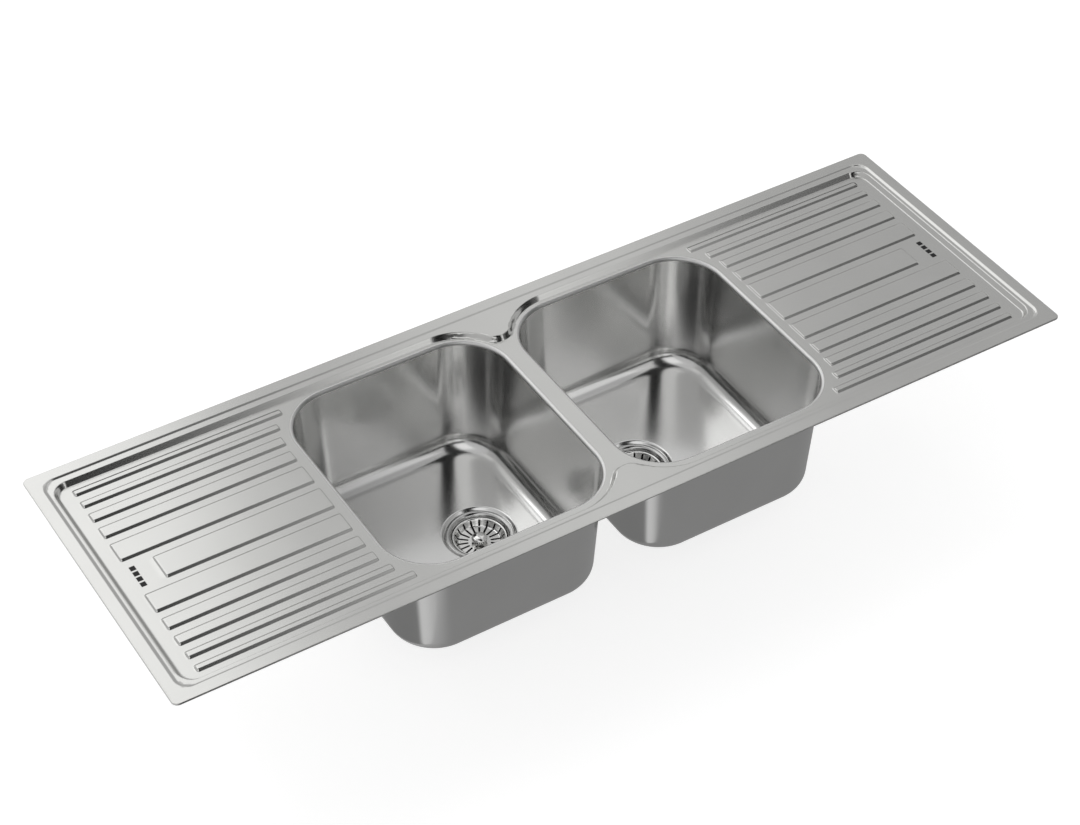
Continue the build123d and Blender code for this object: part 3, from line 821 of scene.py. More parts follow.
    def height(self, x: np.ndarray, y: np.ndarray) -> np.ndarray:
        """Height of the pressed skin: three levels joined by ramps, plus the ribs.

        Args:
            x: places along X.
            y: places along Y.

        Returns:
            Height of the top skin in millimetres.
        """
        half_x, half_y = self.length / 2 - self.step_inset, self.width / 2 - self.step_inset
        step = -outline_distance(x, y, half_x, half_y, self.step_corner)
        run = self.step_run * self.step_easing
        z = self.rim_top - self.step_drop * bend((step - self.step_run / 2) / run + 0.5)
        run = self.pan_run * self.pan_easing
        climb = bend((self.pan_distance(x, y) - self.pan_run / 2) / run + 0.5, self.pan_soft)
        z = z - self.pan_drop * (1 - climb)
        run = self.rib_run * self.rib_easing
        side = np.abs(x)
        for front, back, inner, outer in self.ribs:
            start = inner - self.rib_tip_start
            u, v = side - (start + outer) / 2, y - (front + back) / 2
            half_x, half_y = (outer - start) / 2, (back - front) / 2
            inside = -outline_distance(u, v, half_x, half_y, self.rib_corner)
            rise = bend((side - inner) / self.rib_tip_run)
            z = z + self.rib_height * bend((inside - self.rib_run / 2) / run + 0.5) * rise
        return z

    def metal(self, x: np.ndarray, y: np.ndarray) -> np.ndarray:
        """Signed distance to the edge of the flat metal, negative on it."""
        half_x, half_y = self.length / 2 - self.trim, self.width / 2 - self.trim
        outside = outline_distance(x, y, half_x, half_y, self.corner - self.trim)
        half_x, half_y = self.bowl_length / 2 + self.lip_roll, self.bowl_width / 2 + self.lip_roll
        radius = self.bowl_corner + self.lip_roll
        hole = outline_distance(np.abs(x) - self.bowl_spacing / 2, y, half_x, half_y, radius)
        return np.maximum(outside, -hole)

    def along_y(self) -> np.ndarray:
        """Grid lines across the deck, dense at every slope."""
        grid, line = self.grid, self.width / 2 - self.step_inset
        past, lip = grid.slope_past, self.bowl_width / 2 + self.lip_roll
        spans = [
            (line - grid.step_in, line + grid.step_out, grid.step),
            (-line - grid.step_out, -line + grid.step_in, grid.step),
            (self.back - past, self.back + self.pan_run + past, grid.slope),
            (self.front - self.pan_run - past, self.front + past, grid.slope),
            (self.back - self.pan_corner, self.back + self.pan_run, grid.corner),
            (self.front - self.pan_run, self.front + self.pan_corner, grid.corner),
            (lip, self.back, grid.band),
            (self.front, -lip, grid.band),
        ]
        for front, back, _, _ in self.ribs:
            spans.append((front - grid.rib_out, front + grid.rib_in, grid.rib))
            spans.append((back - grid.rib_in, back + grid.rib_out, grid.rib))
        half = self.width / 2 - self.trim
        return grid_lines(-half, half, spans, grid.across)

    def build(self) -> None:
        """Four plates of the deck and the rolled edge round them."""
        lines_y, grid = self.along_y(), self.grid
        tips = [place[2] for place in self.ribs]
        inner_end = (self.bowl_spacing - self.bowl_length) / 2 - self.lip_roll
        outer_end = (self.bowl_spacing + self.bowl_length) / 2 + self.lip_roll
        near = [
            (0.0, self.arc_x, grid.ledge),
            (inner_end, inner_end + grid.band, grid.band),
            (outer_end - grid.band, outer_end, grid.band),
            (min(tips) - grid.tip_out, max(tips) + grid.tip_in, grid.rib),
        ]
        surround = grid_lines(0.0, self.split, near, grid.surround)
        ends = sorted({round(place[3], 3) for place in self.ribs})
        far = [(end - grid.rib_end_in, end + grid.rib_out, grid.rib) for end in ends]
        line, foot = self.length / 2 - self.step_inset, self.end - grid.end_past
        far += [
            (self.end - self.pan_corner, foot, grid.corner),
            (foot, self.end + self.pan_run + grid.end_past, grid.slope),
            (line - grid.step_in, line + grid.step_out, grid.step),
        ]
        drainer = grid_lines(self.split, self.length / 2 - self.trim, far, grid.drainer)
        self.plate("deck_right_surround", surround, lines_y)
        self.plate("deck_left_surround", -surround[::-1], lines_y)
        self.plate("deck_right_drainer", drainer, lines_y)
        self.plate("deck_left_drainer", -drainer[::-1], lines_y)
        self.rolled_edge()

    def plate(self, name: str, lines_x: np.ndarray, lines_y: np.ndarray) -> None:
        """One plate: the height function on a grid, cut to the metal and given its thickness.

        Corners of the kept cells that lie off the metal move to its edge, down the slope of
        the distance to it. The lower skin hangs sheet * sqrt(1 + slope^2) under the top one.

        Args:
            name: name of the piece.
            lines_x: grid lines along X.
            lines_y: grid lines along Y.
        """
        x, y = (a.ravel() for a in np.meshgrid(lines_x, lines_y, indexing="ij"))
        quads = grid_quads(len(lines_x), len(lines_y))
        touch = 0.02
        quads = quads[(self.metal(x, y)[quads] < -touch).any(axis=1)]
        for _ in range(2):
            push = np.maximum(self.metal(x, y), 0.0)
            slope_x, slope_y = slopes(self.metal, x, y)
            x, y = x - push * slope_x, y - push * slope_y
        points, quads = packed_down(np.stack([x, y, self.height(x, y)], axis=1), quads)
        x, y, z = points.T
        rise_x, rise_y = slopes(self.height, x, y)
        depth = self.sheet * np.minimum(np.sqrt(1 + rise_x**2 + rise_y**2), self.thickest)
        under = np.stack([x, y, z - depth], axis=1)
        cells = thickened(points, under, quads)
        both = np.concatenate([points, under])
        make_piece(name, both, cells, DECK_STEEL, "sink", ("sink_deck",), 60.0)

    def rolled_edge(self) -> None:
        """Rolled edge: a closed profile carried round the outline of the deck.

        The profile runs out over the plate, down a quarter circle to the lip, round its
        rounded end and back in under the plate.
        """
        under = self.rim_top - self.sheet
        lip_end = under - self.edge_lip
        turn, roll = quarter(9), self.edge_roll
        tucked = self.trim + self.tuck
        inset = np.concatenate([
            [tucked, self.trim - 0.1],
            roll - roll * np.sin(turn),
            [0.0, 0.3, 0.8, 1.0, 1.1, tucked],
        ])
        z = np.concatenate([
            [self.rim_top - self.tuck_drop, self.rim_top - self.hair],
            self.rim_top - roll + roll * np.cos(turn),
            [lip_end + 0.15, lip_end, lip_end, lip_end + 0.2, under, under],
        ])
        half_x, half_y = self.length / 2 - inset, self.width / 2 - inset
        radius = np.maximum(self.corner - inset, 1.0)
        points = at_heights(self.edge_loop.points(half_x, half_y, radius), z)
        quads = grid_quads(points.shape[0], points.shape[1], True, True)
        points = points.reshape(-1, 3)
        make_piece("deck_rolled_edge", points, quads, DECK_STEEL, "sink", ("sink_deck",))


# --------------------------------------------------------------------- bowls


@dataclass
class Bowl:
    """Deep drawn bowl with its rolled lip, floor and seat for the waste.

    The seat is a dish round the hole, with its loops at the radii of dish_rows. The other
    row counts say how many loops each form gets.
    """

    name: str
    side: float
    deck: Deck
    depth: float = 211.5
    taper: float = 11.0
    floor_corner: float = 72.0
    fillet: float = 29.0
    skirt: float = 3.0
    waste_offset: float = 52.5
    dish_radius: float = 51.0
    dish_depth: float = 4.0
    dish_run: float = 7.0
    dish_rows: tuple[float, ...] = (57.8, 57.0, 56.0, 55.0, 54.0, 53.0, 52.0, 51.0, 49.0)
    dish_soft: float = 0.4
    hole_radius: float = 45.0
    hole_edge: float = 0.6
    lip_rows: int = 13
    wall_rows: int = 22
    fillet_rows: int = 19
    floor_rows: int = 18
    loop: Loop = Loop(corner_steps=36, long_steps=18, short_steps=22)

    def __post_init__(self) -> None:
        """Work out heights from the sizes."""
        self.floor = self.deck.rim_top - self.depth
        self.weld = self.deck.pan_top - self.deck.lip_roll - self.skirt
        self.centre = self.side * self.deck.bowl_spacing / 2
        self.waste = -self.side * self.waste_offset

    def wall(self, z: np.ndarray) -> tuple[np.ndarray, np.ndarray]:
        """How far the wall has drawn in at a height, and its corner radius there."""
        share = np.clip((self.weld - z) / (self.weld - self.floor), 0.0, 1.0)
        radius = self.deck.bowl_corner - (self.deck.bowl_corner - self.floor_corner) * share
        return self.taper * share, radius

    def skin(self, inside: float) -> np.ndarray:
        """One skin of the bowl, from the deck over the lip and down to the hole.

        A profile of inset and height is carried round a rounded rectangle: the lip is a
        quarter circle, the wall a straight line, the fillet an arc that touches wall and
        floor. The floor blends the last loop into a circle about the waste, and the seat
        for the waste is a ramp down inside that circle.

        Args:
            inside: how deep in the metal the skin lies, 0 or the sheet.

        Returns:
            Array of shape (rows, points, 3).
        """
        deck = self.deck
        top = deck.pan_top - inside
        roll = deck.lip_roll
        turn = quarter(self.lip_rows)
        collar_inset = np.append(-roll - deck.tuck, -roll + (roll - inside) * np.sin(turn))
        lip_z = deck.pan_top - roll + (roll - inside) * np.cos(turn)
        collar_z = np.append(top - deck.tuck_drop, lip_z)
        collar_z[1] -= deck.hair
        lean = math.atan(self.taper / (self.weld - self.floor))
        arc_z = self.floor + self.fillet
        arc_inset = float(self.wall(np.array(arc_z))[0]) + self.fillet / math.cos(lean)
        sweep = np.linspace(lean, math.pi / 2, self.fillet_rows)
        around = self.fillet + inside
        fillet_inset = arc_inset - around * np.cos(sweep)
        fillet_z = arc_z - around * np.sin(sweep)
        wall_z = np.linspace(deck.pan_top - roll, fillet_z[0], self.wall_rows)[1:-1]
        wall_inset = self.wall(wall_z)[0] - inside / math.cos(lean)
        inset = np.concatenate([collar_inset, wall_inset, fillet_inset])
        z = np.concatenate([collar_z, wall_z, fillet_z])
        drawn, radius = self.wall(z)
        half_x, half_y = deck.bowl_length / 2 - inset, deck.bowl_width / 2 - inset
        loops = self.loop.points(half_x, half_y, radius - (inset - drawn))
        last = loops[-1]
        centre = np.array([self.waste, 0.0])
        way = last - centre
        way = way / np.linalg.norm(way, axis=1, keepdims=True)
        seat_top = self.dish_radius + self.dish_run
        circle = centre + way * (seat_top + 1.0)
        share = np.linspace(0, 1, self.floor_rows)[1:, None, None]
        floor = last * (1 - share) + circle * share
        level = self.floor - inside
        reach = np.array([*self.dish_rows, self.hole_radius + self.hole_edge, self.hole_radius])
        drop = self.dish_depth * bend((seat_top - reach) / self.dish_run, self.dish_soft)
        dish = centre + way * reach[:, None, None]
        rows = [at_heights(loops, z), at_heights(floor, np.full(len(floor), level))]
        rows.append(at_heights(dish, level - drop))
        return np.concatenate(rows) + np.array([self.centre, 0.0, 0.0])

    def build(self) -> None:
        """Both skins joined at the hole and under the deck."""
        skins = np.concatenate([self.skin(0.0), self.skin(self.deck.sheet)[::-1]])
        quads = grid_quads(skins.shape[0], skins.shape[1], True, True)
        points, node = skins.reshape(-1, 3), f"{self.name}_bowl"
        make_piece(f"{node}_shell", points, quads, BOWL_STEEL, "sink", (node,))


# --------------------------------------------------------------------- waste


@dataclass(frozen=True)
class Slots:
    """Ring of radial slots: how many, how wide, and between which radii."""

    count: int
    width: float
    inner: float
    outer: float


@dataclass
class Strainer:
    """Waste seen from above: flange and cup, and the lift-out basket with its knob.

    The crown is the slight hump of the flange; the mouth is the quarter oval by which it
    turns down into the cup. Rows are the radii at which the sheets have their loops.
    """

    name: str
    side: float
    waste_x: float = 142.0
    flange_top: float = -210.5
    flange_radius: float = 52.0
    flange_edge: float = 1.6
    flange_drop: float = 0.55
    crown_middle: float = 49.1
    crown_half: float = 3.0
    crown_dip: float = 0.2
    mouth_width: float = 6.0
    mouth_depth: float = 9.0
    mouth_gap: float = 0.1
    cup_radius: float = 42.5
    wall: float = 0.8
    cup_floor: float = -235.5
    cup_foot: float = 4.0
    cup_rows: tuple[float, ...] = (
        34.0, 30.0, 29.6, 28.8, 27.5, 26.0, 23.5, 21.0, 18.5, 16.0, 14.5, 13.2, 12.4, 12.0, 9.0,
    )
    screw_hole: float = 3.4
    basket_top: float = -216.0
    basket_under: float = -227.0
    basket_side: float = 31.6
    basket_side_run: float = 8.6
    basket_rows: tuple[float, ...] = (41.2, 40.8, 40.4, 40.0, 39.6, 39.2, 38.8)
    basket_floor_rows: tuple[float, ...] = (16.0, 13.0, 9.0)
    slot_end_rows: tuple[float, ...] = (0.0, 0.3, 0.8, 1.6, 2.4)
    stem_hole: float = 3.05
    basket_slots: Slots = Slots(18, 3.2, 17.0, 38.4)
    cup_slots: Slots = Slots(8, 5.0, 12.0, 30.0)
    knob_radius: float = 12.0
    knob_neck: float = 5.0
    knob_under: float = 5.0
    knob_height: float = 12.5
    knob_edge: float = 1.2
    knob_side: float = 0.8
    knob_dome: float = 0.62
    knob_turns: int = 64

    def turned(self, radius: np.ndarray, high: np.ndarray, angle: np.ndarray) -> np.ndarray:
        """Points of a sheet turned about the waste's axis: (r cos a, r sin a, z).

        Args:
            radius: radius of each row.
            high: height of each row.
            angle: angles of the points, for all rows or of shape (rows, points).

        Returns:
            Points row by row.
        """
        x = radius[:, None] * np.cos(angle) + self.side * self.waste_x
        y = radius[:, None] * np.sin(angle)
        z = np.broadcast_to(high[:, None], x.shape)
        return np.stack([x, y, z], axis=2).reshape(-1, 3)

    def slotted(
        self,
        radius: np.ndarray,
        high: np.ndarray,
        low_radius: np.ndarray,
        low: np.ndarray,
        slots: Slots,
        cut_rows: np.ndarray,
    ) -> tuple[np.ndarray, np.ndarray]:
        """Turned sheet with radial slots of even width.

        Round each row, the angle of a slot's edge is its middle plus or minus
        asin(half width / radius), where the half width follows a quarter circle near the
        slot's ends. Columns are spread evenly over slots and over the petals between them,
        and the cells in the slots are left out.

        Args:
            radius: radius of each row of the top skin.
            high: height of each row of the top skin.
            low_radius: radius of each row of the lower skin.
            low: height of each row of the lower skin.
            slots: the slots.
            cut_rows: whether slots may cut each gap between two rows.

        Returns:
            Points of both skins and closed cells.
        """
        pitch = 2 * math.pi / slots.count
        gap, petal = 4, 8
        narrowest, beyond, fullest = 0.06, 0.25, 0.9
        ease = np.minimum(radius - slots.inner, slots.outer - radius) / (slots.width / 2)
        round_end = np.sqrt(np.clip(1 - (1 - np.clip(ease, 0.0, 1.0)) ** 2, narrowest, 1.0))
        inside = (radius >= slots.inner) & (radius <= slots.outer)
        half = slots.width / 2 * np.where(inside, round_end, beyond)
        share = np.clip(half / np.maximum(radius, 1.0), 0.0, fullest * pitch / 2)
        edge = np.arcsin(share)[:, None]
        over_slot = np.arange(gap) / gap * 2 - 1
        over_petal = np.arange(petal) / petal
        one = np.concatenate([edge * over_slot, edge + (pitch - 2 * edge) * over_petal], axis=1)
        angle = one[:, None, :] + np.arange(slots.count)[None, :, None] * pitch
        angle = angle.reshape(len(radius), -1)
        columns = slots.count * (gap + petal)
        top, under = self.turned(radius, high, angle), self.turned(low_radius, low, angle)
        quads = grid_quads(len(radius), columns, False, True)
        row, column = quads[:, 0] // columns, quads[:, 0] % columns
        middle = (radius[:-1] + radius[1:]) / 2
        open_row = cut_rows & (middle > slots.inner) & (middle < slots.outer)
        cut = open_row[row] & (column % (gap + petal) < gap)
        quads = quads[~cut]
        return np.concatenate([top, under]), thickened(top, under, quads)

    def cup(self) -> None:
        """Flange and cup: crowned flange, straight wall, rounded bottom edge, slotted floor.

        One profile from the flange's edge to the screw hole: a quarter circle, a shallow
        parabola for the crown, a quarter oval, a straight line, a quarter circle and the
        flat floor. The lower skin lies one wall away, square to the profile.
        """
        inner, top, rim = self.cup_radius - self.wall, self.flange_top, self.flange_edge
        edge, mouth, foot = quarter(7)[1:-1], quarter(9)[1:], quarter(8)[1:]
        crown_end = inner + self.mouth_width + 2 * self.mouth_gap
        crown = np.linspace(self.flange_radius - rim - self.mouth_gap, crown_end, 9)
        mouth_z = top - self.mouth_gap - self.mouth_depth * (1 - np.cos(mouth))
        wall_z = np.linspace(mouth_z[-1], self.cup_floor + self.cup_foot, 9)[1:]
        floor = np.array([*self.cup_rows, self.screw_hole])
        radius = np.concatenate([
            [self.flange_radius, self.flange_radius],
            self.flange_radius - rim * (1 - np.cos(edge)),
            crown,
            inner + self.mouth_width * (1 - np.sin(mouth)),
            np.full(len(wall_z), inner),
            inner - self.cup_foot * (1 - np.cos(foot)),
            floor,
        ])
        high = np.concatenate([
            [top - rim - self.flange_drop, top - rim],
            top - rim * (1 - np.sin(edge)),
            top - self.crown_dip * ((crown - self.crown_middle) / self.crown_half) ** 2,
            mouth_z,
            wall_z,
            self.cup_floor + self.cup_foot * (1 - np.sin(foot)),
            np.full(len(floor), self.cup_floor),
        ])
        slope_r, slope_z = np.gradient(radius), np.gradient(high)
        length = np.hypot(slope_r, slope_z)
        low_radius = radius - self.wall * slope_z / length
        low = high + self.wall * slope_r / length
        low_radius = np.clip(low_radius, self.screw_hole, self.flange_radius)
        low_radius[:2] = self.flange_radius - self.wall
        low[:2] = high[:2]
        floor_rows = high[:-1] < self.cup_floor + 0.1
        points, quads = self.slotted(
            radius, high, low_radius, low, self.cup_slots, floor_rows
        )
        node = f"{self.name}_waste_flange"
        make_piece(f"{self.name}_strainer_cup", points, quads, SHADED_WASTE_STEEL, "sink", (node,))

    def basket(self) -> None:
        """Basket: flat floor, conical side in narrow petals, flat rim.

        Its loops crowd at both ends of the slots, to round them.
        """
        slots, ends = self.basket_slots, np.array(self.slot_end_rows)
        inner, outer = slots.inner, slots.outer
        radius = np.concatenate([
            self.basket_rows,
            outer - ends[:-1],
            np.linspace(outer - ends[-1], inner + ends[-1], 18),
            inner + ends[-2::-1],
            self.basket_floor_rows,
            [self.stem_hole],
        ])
        floor = self.basket_under + self.wall
        climb = bend((radius - self.basket_side) / self.basket_side_run)
        high = floor + (self.basket_top - floor) * climb
        low = high - self.wall
        rows = np.ones(len(radius) - 1, dtype=bool)
        points, quads = self.slotted(radius, high, radius, low, slots, rows)
        body = f"{self.name}_strainer"
        make_piece(f"{body}_basket", points, quads, LIGHTENED_BASKET_STEEL, body, (f"{self.name}_basket",))

    def knob(self) -> None:
        """Knob: a turned dome over a flat underside and a short neck.

        The dome is a superellipse, radius * sin(a)^side and rise * cos(a)^dome.
        """
        base = self.basket_under + self.wall
        crown = np.linspace(0.02, math.pi / 2, 16)
        under = base + self.knob_under
        wide, neck = self.knob_radius, self.knob_neck
        radius = np.concatenate([
            wide * np.sin(crown) ** self.knob_side, [wide, wide - 0.6, neck + 0.8, neck, neck, 0.4],
        ])
        rise = self.knob_height - self.knob_under - self.knob_edge
        high = np.concatenate([
            under + self.knob_edge + rise * np.cos(crown) ** self.knob_dome,
            [under + 0.5, under, under, under - 0.6, base, base],
        ])
        turns = self.knob_turns
        points = self.turned(radius, high, np.arange(turns) * 2 * math.pi / turns)
        quads = grid_quads(len(radius), turns, False, True)
        cells = np.concatenate([quads, self.caps(len(radius), turns)])
        body = f"{self.name}_strainer"
        make_piece(f"{body}_knob", points, cells, KNOB_STEEL, body, (f"{self.name}_basket_knob",))

    @staticmethod
    def caps(rows: int, turns: int) -> np.ndarray:
        """Strips of cells that close the first and the last row of a turned grid.

        Args:
            rows: number of rows.
            turns: points in a row, an even number.

        Returns:
            Cells across both ends.
        """
        half = np.arange(turns // 2 - 1)
        strip = np.stack([half, half + 1, turns - 2 - half, turns - 1 - half], axis=1)
        return np.concatenate([strip, strip[:, ::-1] + (rows - 1) * turns])

    def build(self) -> None:
        """Cup, basket and knob."""
        self.cup()
        self.basket()
        self.knob()


# -------------------------------------------------------------- carried nodes


@dataclass
class CarriedNodes:
    """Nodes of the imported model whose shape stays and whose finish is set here."""

    finishes: tuple[tuple[str, Finish], ...] = (
        ("rim_seal", FOAM),
        ("clip_", CLIP_STEEL),
        ("_sound_pad", PAD),
        ("_gasket", RUBBER),
        ("_waste_body", PLASTIC),
        ("_waste_screw", CLIP_STEEL),
        ("_basket_stopper", RUBBER),
        ("_basket_stem", SHADED_WASTE_STEEL),
    )

    def dress(self, nodes: dict[str, bpy.types.Object]) -> None:
        """Give each carried node the first finish whose word is in its name.

        Args:
            nodes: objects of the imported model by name.
        """
        for name, piece in nodes.items():
            finish = next((f for word, f in self.finishes if word in name), None)
            if finish is None:
                continue
            if not piece.material_slots:
                piece.data.materials.append(finish.material())
            for slot in piece.material_slots:
                slot.link = "OBJECT"
                slot.material = finish.material()
            LOG.info("%s keeps its shape in %s", name, finish.name)


# -------------------------------------------------------------------- studio


@dataclass(frozen=True)
class Panel:
    """Soft patch of the studio, bright or dark, which runs along the sink.

    Its place is given by two measures of a direction: its part along X, and its turn about X
    in degrees, from 0 at the horizon behind the sink over 90 above it to 180 in front. Each
    soft measure is half the width of an edge. A bright patch adds its strength to the light,
    and a dark one takes its strength, as a share, away.
    """

    low_x: float
    high_x: float
    soft_x: float
    low_turn: float
    high_turn: float
    soft_turn: float
    strength: float


@dataclass(frozen=True)
class Strip:
    """Upright strip beside a bowl, in metres and levels of light.

    Attributes:
        name: side of its bowl.
        x: place along X.
        dim: level at its far part.
        peak: level at its bright line.
        tail: level at its near part.
    """

    name: str
    x: float
    dim: float
    peak: float
    tail: float


@dataclass
class Studio:
    """Camera, pale floor and soft light, in metres and degrees.

    The metal mirrors a dark card on the floor before the bowls and a strip beside each
    bowl. The card brightens to the left between two places along X, and fades to black
    between two places along Y; a strip changes its level at three places along Y.
    """

    azimuth: float = 31.967
    elevation: float = 42.090
    roll: float = -0.147
    place: tuple[float, float, float] = (-1.50333, -2.35361, 2.49200)
    lens: float = 84.353
    floor_level: float = -0.2905
    floor_half: float = 20.0
    floor_tone: float = 0.62
    floor_glow: float = 0.75
    above_floor: float = 0.002
    card_low: tuple[float, float] = (-1.2, -6.0)
    card_high: tuple[float, float] = (1.6, 0.45)
    card_glow: float = 0.285
    card_left: tuple[float, float] = (-0.44, -0.27)
    card_left_glow: float = 0.26
    card_fade: tuple[float, float] = (-0.9, -0.55)
    card_darkest: float = 0.05
    strip_near: float = -0.31
    strip_far: float = -0.04
    strip_top: float = -0.03
    strip_turns: tuple[float, float, float] = (-0.278, -0.198, -0.180)
    strips: tuple[Strip, ...] = (
        Strip("left", -0.377, 0.22, 0.70, 0.56),
        Strip("right", 0.012, 0.22, 0.70, 0.32),
    )
    panels: tuple[Panel, ...] = (
        Panel(-0.10, 0.272, 0.025, 20.0, 66.0, 8.0, 0.76),
        Panel(0.345, 0.46, 0.035, 25.0, 75.0, 8.0, 0.34),
        Panel(-0.43, -0.22, 0.03, 20.0, 68.0, 8.0, 1.28),
        Panel(0.32, 0.45, 0.014, 118.0, 162.0, 8.0, 0.52),
        Panel(-0.50, -0.12, 0.03, 100.0, 143.0, 8.0, 0.4),
    )
    shades: tuple[Panel, ...] = (
        Panel(0.262, 0.9, 0.02, 20.0, 70.0, 8.0, 0.1),
        Panel(-0.08, 0.275, 0.012, 75.0, 190.0, 5.0, 0.985),
        Panel(0.275, 0.32, 0.012, 75.0, 190.0, 5.0, 0.6),
        Panel(0.465, 0.62, 0.02, 84.0, 190.0, 6.0, 0.8),
        Panel(0.62, 0.90, 0.03, 84.0, 190.0, 6.0, 0.94),
        Panel(-0.52, -0.08, 0.02, 142.0, 190.0, 4.0, 0.95),
    )
    ambient: float = 0.56
    ambient_gain: float = 1.15
    ambient_from: float = -0.1

    def camera(self) -> None:
        """Camera that stands where the photograph was taken."""
        az, el, roll = (math.radians(v) for v in (self.azimuth, self.elevation, self.roll))
        ahead = Vector((math.cos(el) * math.sin(az), math.cos(el) * math.cos(az), -math.sin(el)))
        right = Vector((math.cos(az), -math.sin(az), 0.0))
        down = ahead.cross(right)
        turned_right = math.cos(roll) * right + math.sin(roll) * down
        turned_down = math.cos(roll) * down - math.sin(roll) * right
        data = bpy.data.cameras.new("camera")
        data.lens, data.sensor_width, data.sensor_fit = self.lens, 36.0, "HORIZONTAL"
        data.clip_start, data.clip_end = 0.05, 100.0
        camera = bpy.data.objects.new("camera", data)
        axes = Matrix((turned_right, -turned_down, -ahead)).transposed()
        camera.matrix_world = Matrix.Translation(self.place) @ axes.to_4x4()
        bpy.context.scene.collection.objects.link(camera)
        bpy.context.scene.camera = camera

    def floor(self) -> None:
        """Pale floor: keeps the object's soft shadow, shows as white, is clear from below."""
        made, nodes = new_material("pale floor")
        tone = self.floor_tone
        matt = nodes.add("ShaderNodeBsdfDiffuse", Color=(tone, tone, tone, 1.0))
        rays = nodes.add("ShaderNodeLightPath").outputs
        seen = nodes.math("MAXIMUM", rays["Is Camera Ray"], rays["Is Glossy Ray"])
        seen = nodes.math("MAXIMUM", seen, rays["Is Transmission Ray"])
        both = nodes.add("ShaderNodeAddShader")
        nodes.feed(both.inputs[0], matt.outputs[0])
        nodes.feed(both.inputs[1], nodes.glow(nodes.math("MULTIPLY", seen, self.floor_glow)))
        nodes.show_one_side(both.outputs[0])
        half = self.floor_half
        corners = self.lying((-half, -half), (half, half), self.floor_level)
        self.sheet("floor", corners, made)

    def card(self) -> None:
        """Dark card in front of the bowls, for their fronts to mirror."""
        made, nodes = new_material("dark card")
        place = nodes.add("ShaderNodeTexCoord").outputs["Object"]
        along, across, _ = nodes.add("ShaderNodeSeparateXYZ", Vector=place).outputs
        left = nodes.ramp(along, *self.card_left, self.card_left_glow, 0.0)
        level = nodes.math("ADD", self.card_glow, left)
        fade = nodes.ramp(across, *self.card_fade, self.card_darkest, 1.0)
        nodes.show(nodes.glow(nodes.math("MULTIPLY", level, fade)))
        corners = self.lying(self.card_low, self.card_high, self.floor_level + self.above_floor)
        self.mirrored_only(self.sheet("dark_card", corners, made))

    def stand(self, strip: Strip) -> None:
        """Upright one-sided strip beside a bowl, for the corner to its right.

        Its level goes from the tail to the peak, and past the peak it falls to the dim one.

        Args:
            strip: its place and levels.
        """
        made, nodes = new_material(f"{strip.name} strip")
        place = nodes.add("ShaderNodeNewGeometry").outputs["Position"]
        along = nodes.add("ShaderNodeSeparateXYZ", Vector=place).outputs[1]
        first, peak, last = self.strip_turns
        level = nodes.ramp(along, first, peak, strip.tail, strip.peak)
        kept = nodes.math("SUBTRACT", 1.0, nodes.ramp(along, peak, last, 0.0, 1.0))
        rest = nodes.math("MULTIPLY", nodes.math("SUBTRACT", level, strip.dim), kept)
        nodes.show_one_side(nodes.glow(nodes.math("ADD", rest, strip.dim)))
        low, high = self.floor_level + self.above_floor, self.strip_top
        near, far = self.strip_near, self.strip_far
        corners = [(strip.x, y, z) for y, z in ((near, low), (far, low), (far, high), (near, high))]
        self.mirrored_only(self.sheet(f"{strip.name}_strip", corners, made))

    @staticmethod
    def lying(
        low: tuple[float, float], high: tuple[float, float], level: float
    ) -> list[tuple[float, float, float]]:
        """Corners of a level rectangle between two of its corners, facing up."""
        flat = (low, (high[0], low[1]), high, (low[0], high[1]))
        return [(x, y, level) for x, y in flat]

    @staticmethod
    def sheet(
        name: str, corners: list[tuple[float, float, float]], material: bpy.types.Material
    ) -> bpy.types.Object:
        """Flat sheet of one face.

        Args:
            name: its name.
            corners: its four corners in metres, anticlockwise from the front.
            material: what it wears.

        Returns:
            The sheet, linked to the scene.
        """
        mesh = bpy.data.meshes.new(name)
        mesh.from_pydata(corners, [], [(0, 1, 2, 3)])
        mesh.materials.append(material)
        thing = bpy.data.objects.new(name, mesh)
        bpy.context.scene.collection.objects.link(thing)
        return thing

    @staticmethod
    def mirrored_only(thing: bpy.types.Object) -> None:
        """Stage a sheet that the metal mirrors and that nothing else shows or feels."""
        thing.visible_camera = False
        thing.visible_diffuse = False
        thing.visible_shadow = False
        thing.visible_transmission = False

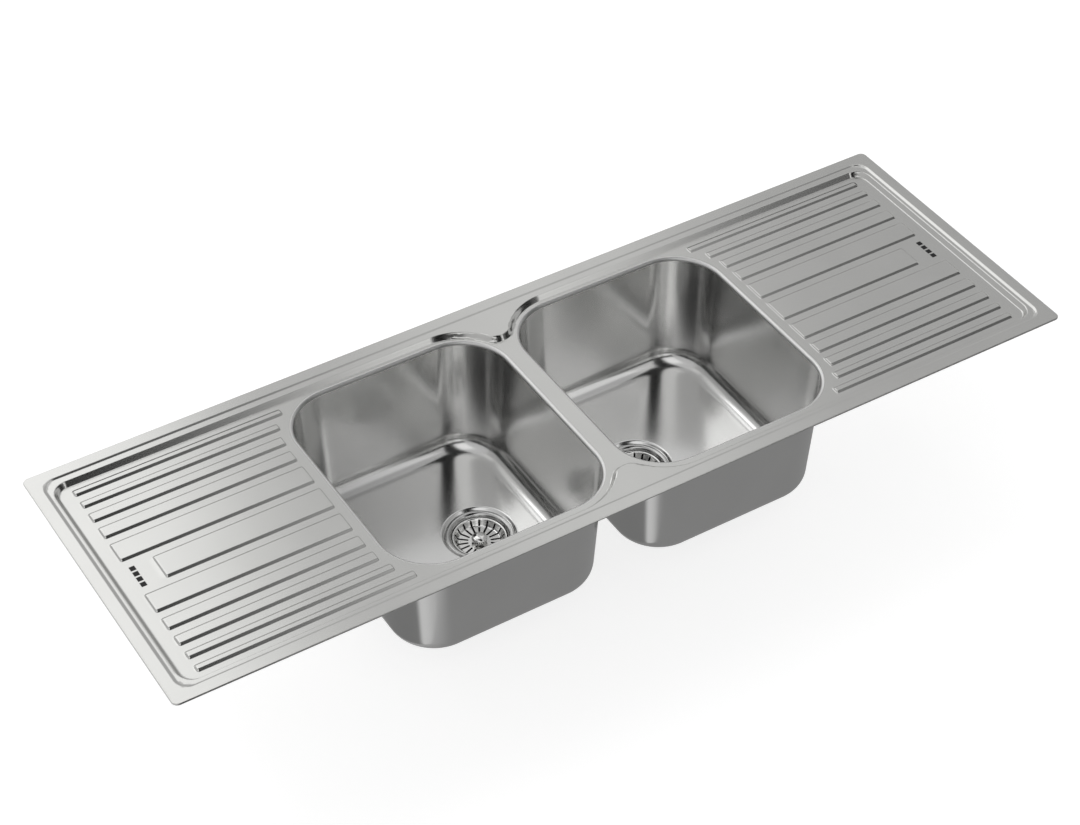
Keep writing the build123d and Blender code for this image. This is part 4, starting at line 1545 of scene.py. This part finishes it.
    def light(self) -> None:
        """World of soft bright and dark panels on an even grey, white for the camera."""
        world = bpy.data.worlds.new("studio")
        world.use_nodes = True
        bpy.context.scene.world = world
        nodes = Nodes(world.node_tree)
        way = nodes.add("ShaderNodeTexCoord").outputs["Generated"]
        along, behind, above = nodes.add("ShaderNodeSeparateXYZ", Vector=way).outputs
        turn = nodes.math("ARCTAN2", above, behind)
        top = self.ambient * self.ambient_gain
        total: object = nodes.ramp(above, self.ambient_from, 1.0, self.ambient, top)
        for panel in self.panels:
            total = nodes.math("ADD", total, self.patch(nodes, along, turn, panel))
        for shade in self.shades:
            kept = nodes.math("SUBTRACT", 1.0, self.patch(nodes, along, turn, shade))
            total = nodes.math("MULTIPLY", total, kept)
        seen = nodes.add("ShaderNodeLightPath").outputs["Is Camera Ray"]
        unseen = nodes.math("SUBTRACT", 1.0, seen)
        total = nodes.math("ADD", nodes.math("MULTIPLY", total, unseen), seen)
        back = nodes.add("ShaderNodeBackground", Color=WHITE, Strength=total)
        nodes.show(back.outputs[0], "ShaderNodeOutputWorld")

    @staticmethod
    def patch(nodes: Nodes, along: object, turn: object, panel: Panel) -> bpy.types.NodeSocket:
        """Strength of one panel: a smooth rise and fall along X times one in the turn about X.

        Args:
            nodes: tree helper.
            along: part of the direction along X.
            turn: turn about X in radians.
            panel: the panel.

        Returns:
            Output with the strength.
        """
        turns = (panel.low_turn, panel.high_turn, panel.soft_turn)
        product: object = panel.strength
        spans = (
            (along, panel.low_x, panel.high_x, panel.soft_x),
            (turn, *(math.radians(v) for v in turns)),
        )
        for value, low, high, soft in spans:
            rise = nodes.ramp(value, low - soft, low + soft, 0.0, 1.0)
            product = nodes.math("MULTIPLY", product, rise)
            fall = nodes.ramp(value, high - soft, high + soft, 1.0, 0.0)
            product = nodes.math("MULTIPLY", product, fall)
        return product

    def build(self) -> None:
        """Camera, floor, mirrored sheets and light, with colours shown as they are written."""
        bpy.context.scene.view_settings.view_transform = "Standard"
        self.camera()
        self.floor()
        self.card()
        for strip in self.strips:
            self.stand(strip)
        self.light()


def main() -> None:
    """Build every sub-assembly and the studio round it."""
    logging.basicConfig(level=logging.INFO, format="%(name)s: %(message)s")
    deck = Deck()
    deck.build()
    for name, side in (("left", -1.0), ("right", 1.0)):
        Bowl(name, side, deck).build()
        Strainer(name, side).build()
    CarriedNodes().dress(frame["nodes"])
    Studio().build()


if __name__ == "__main__":
    main()
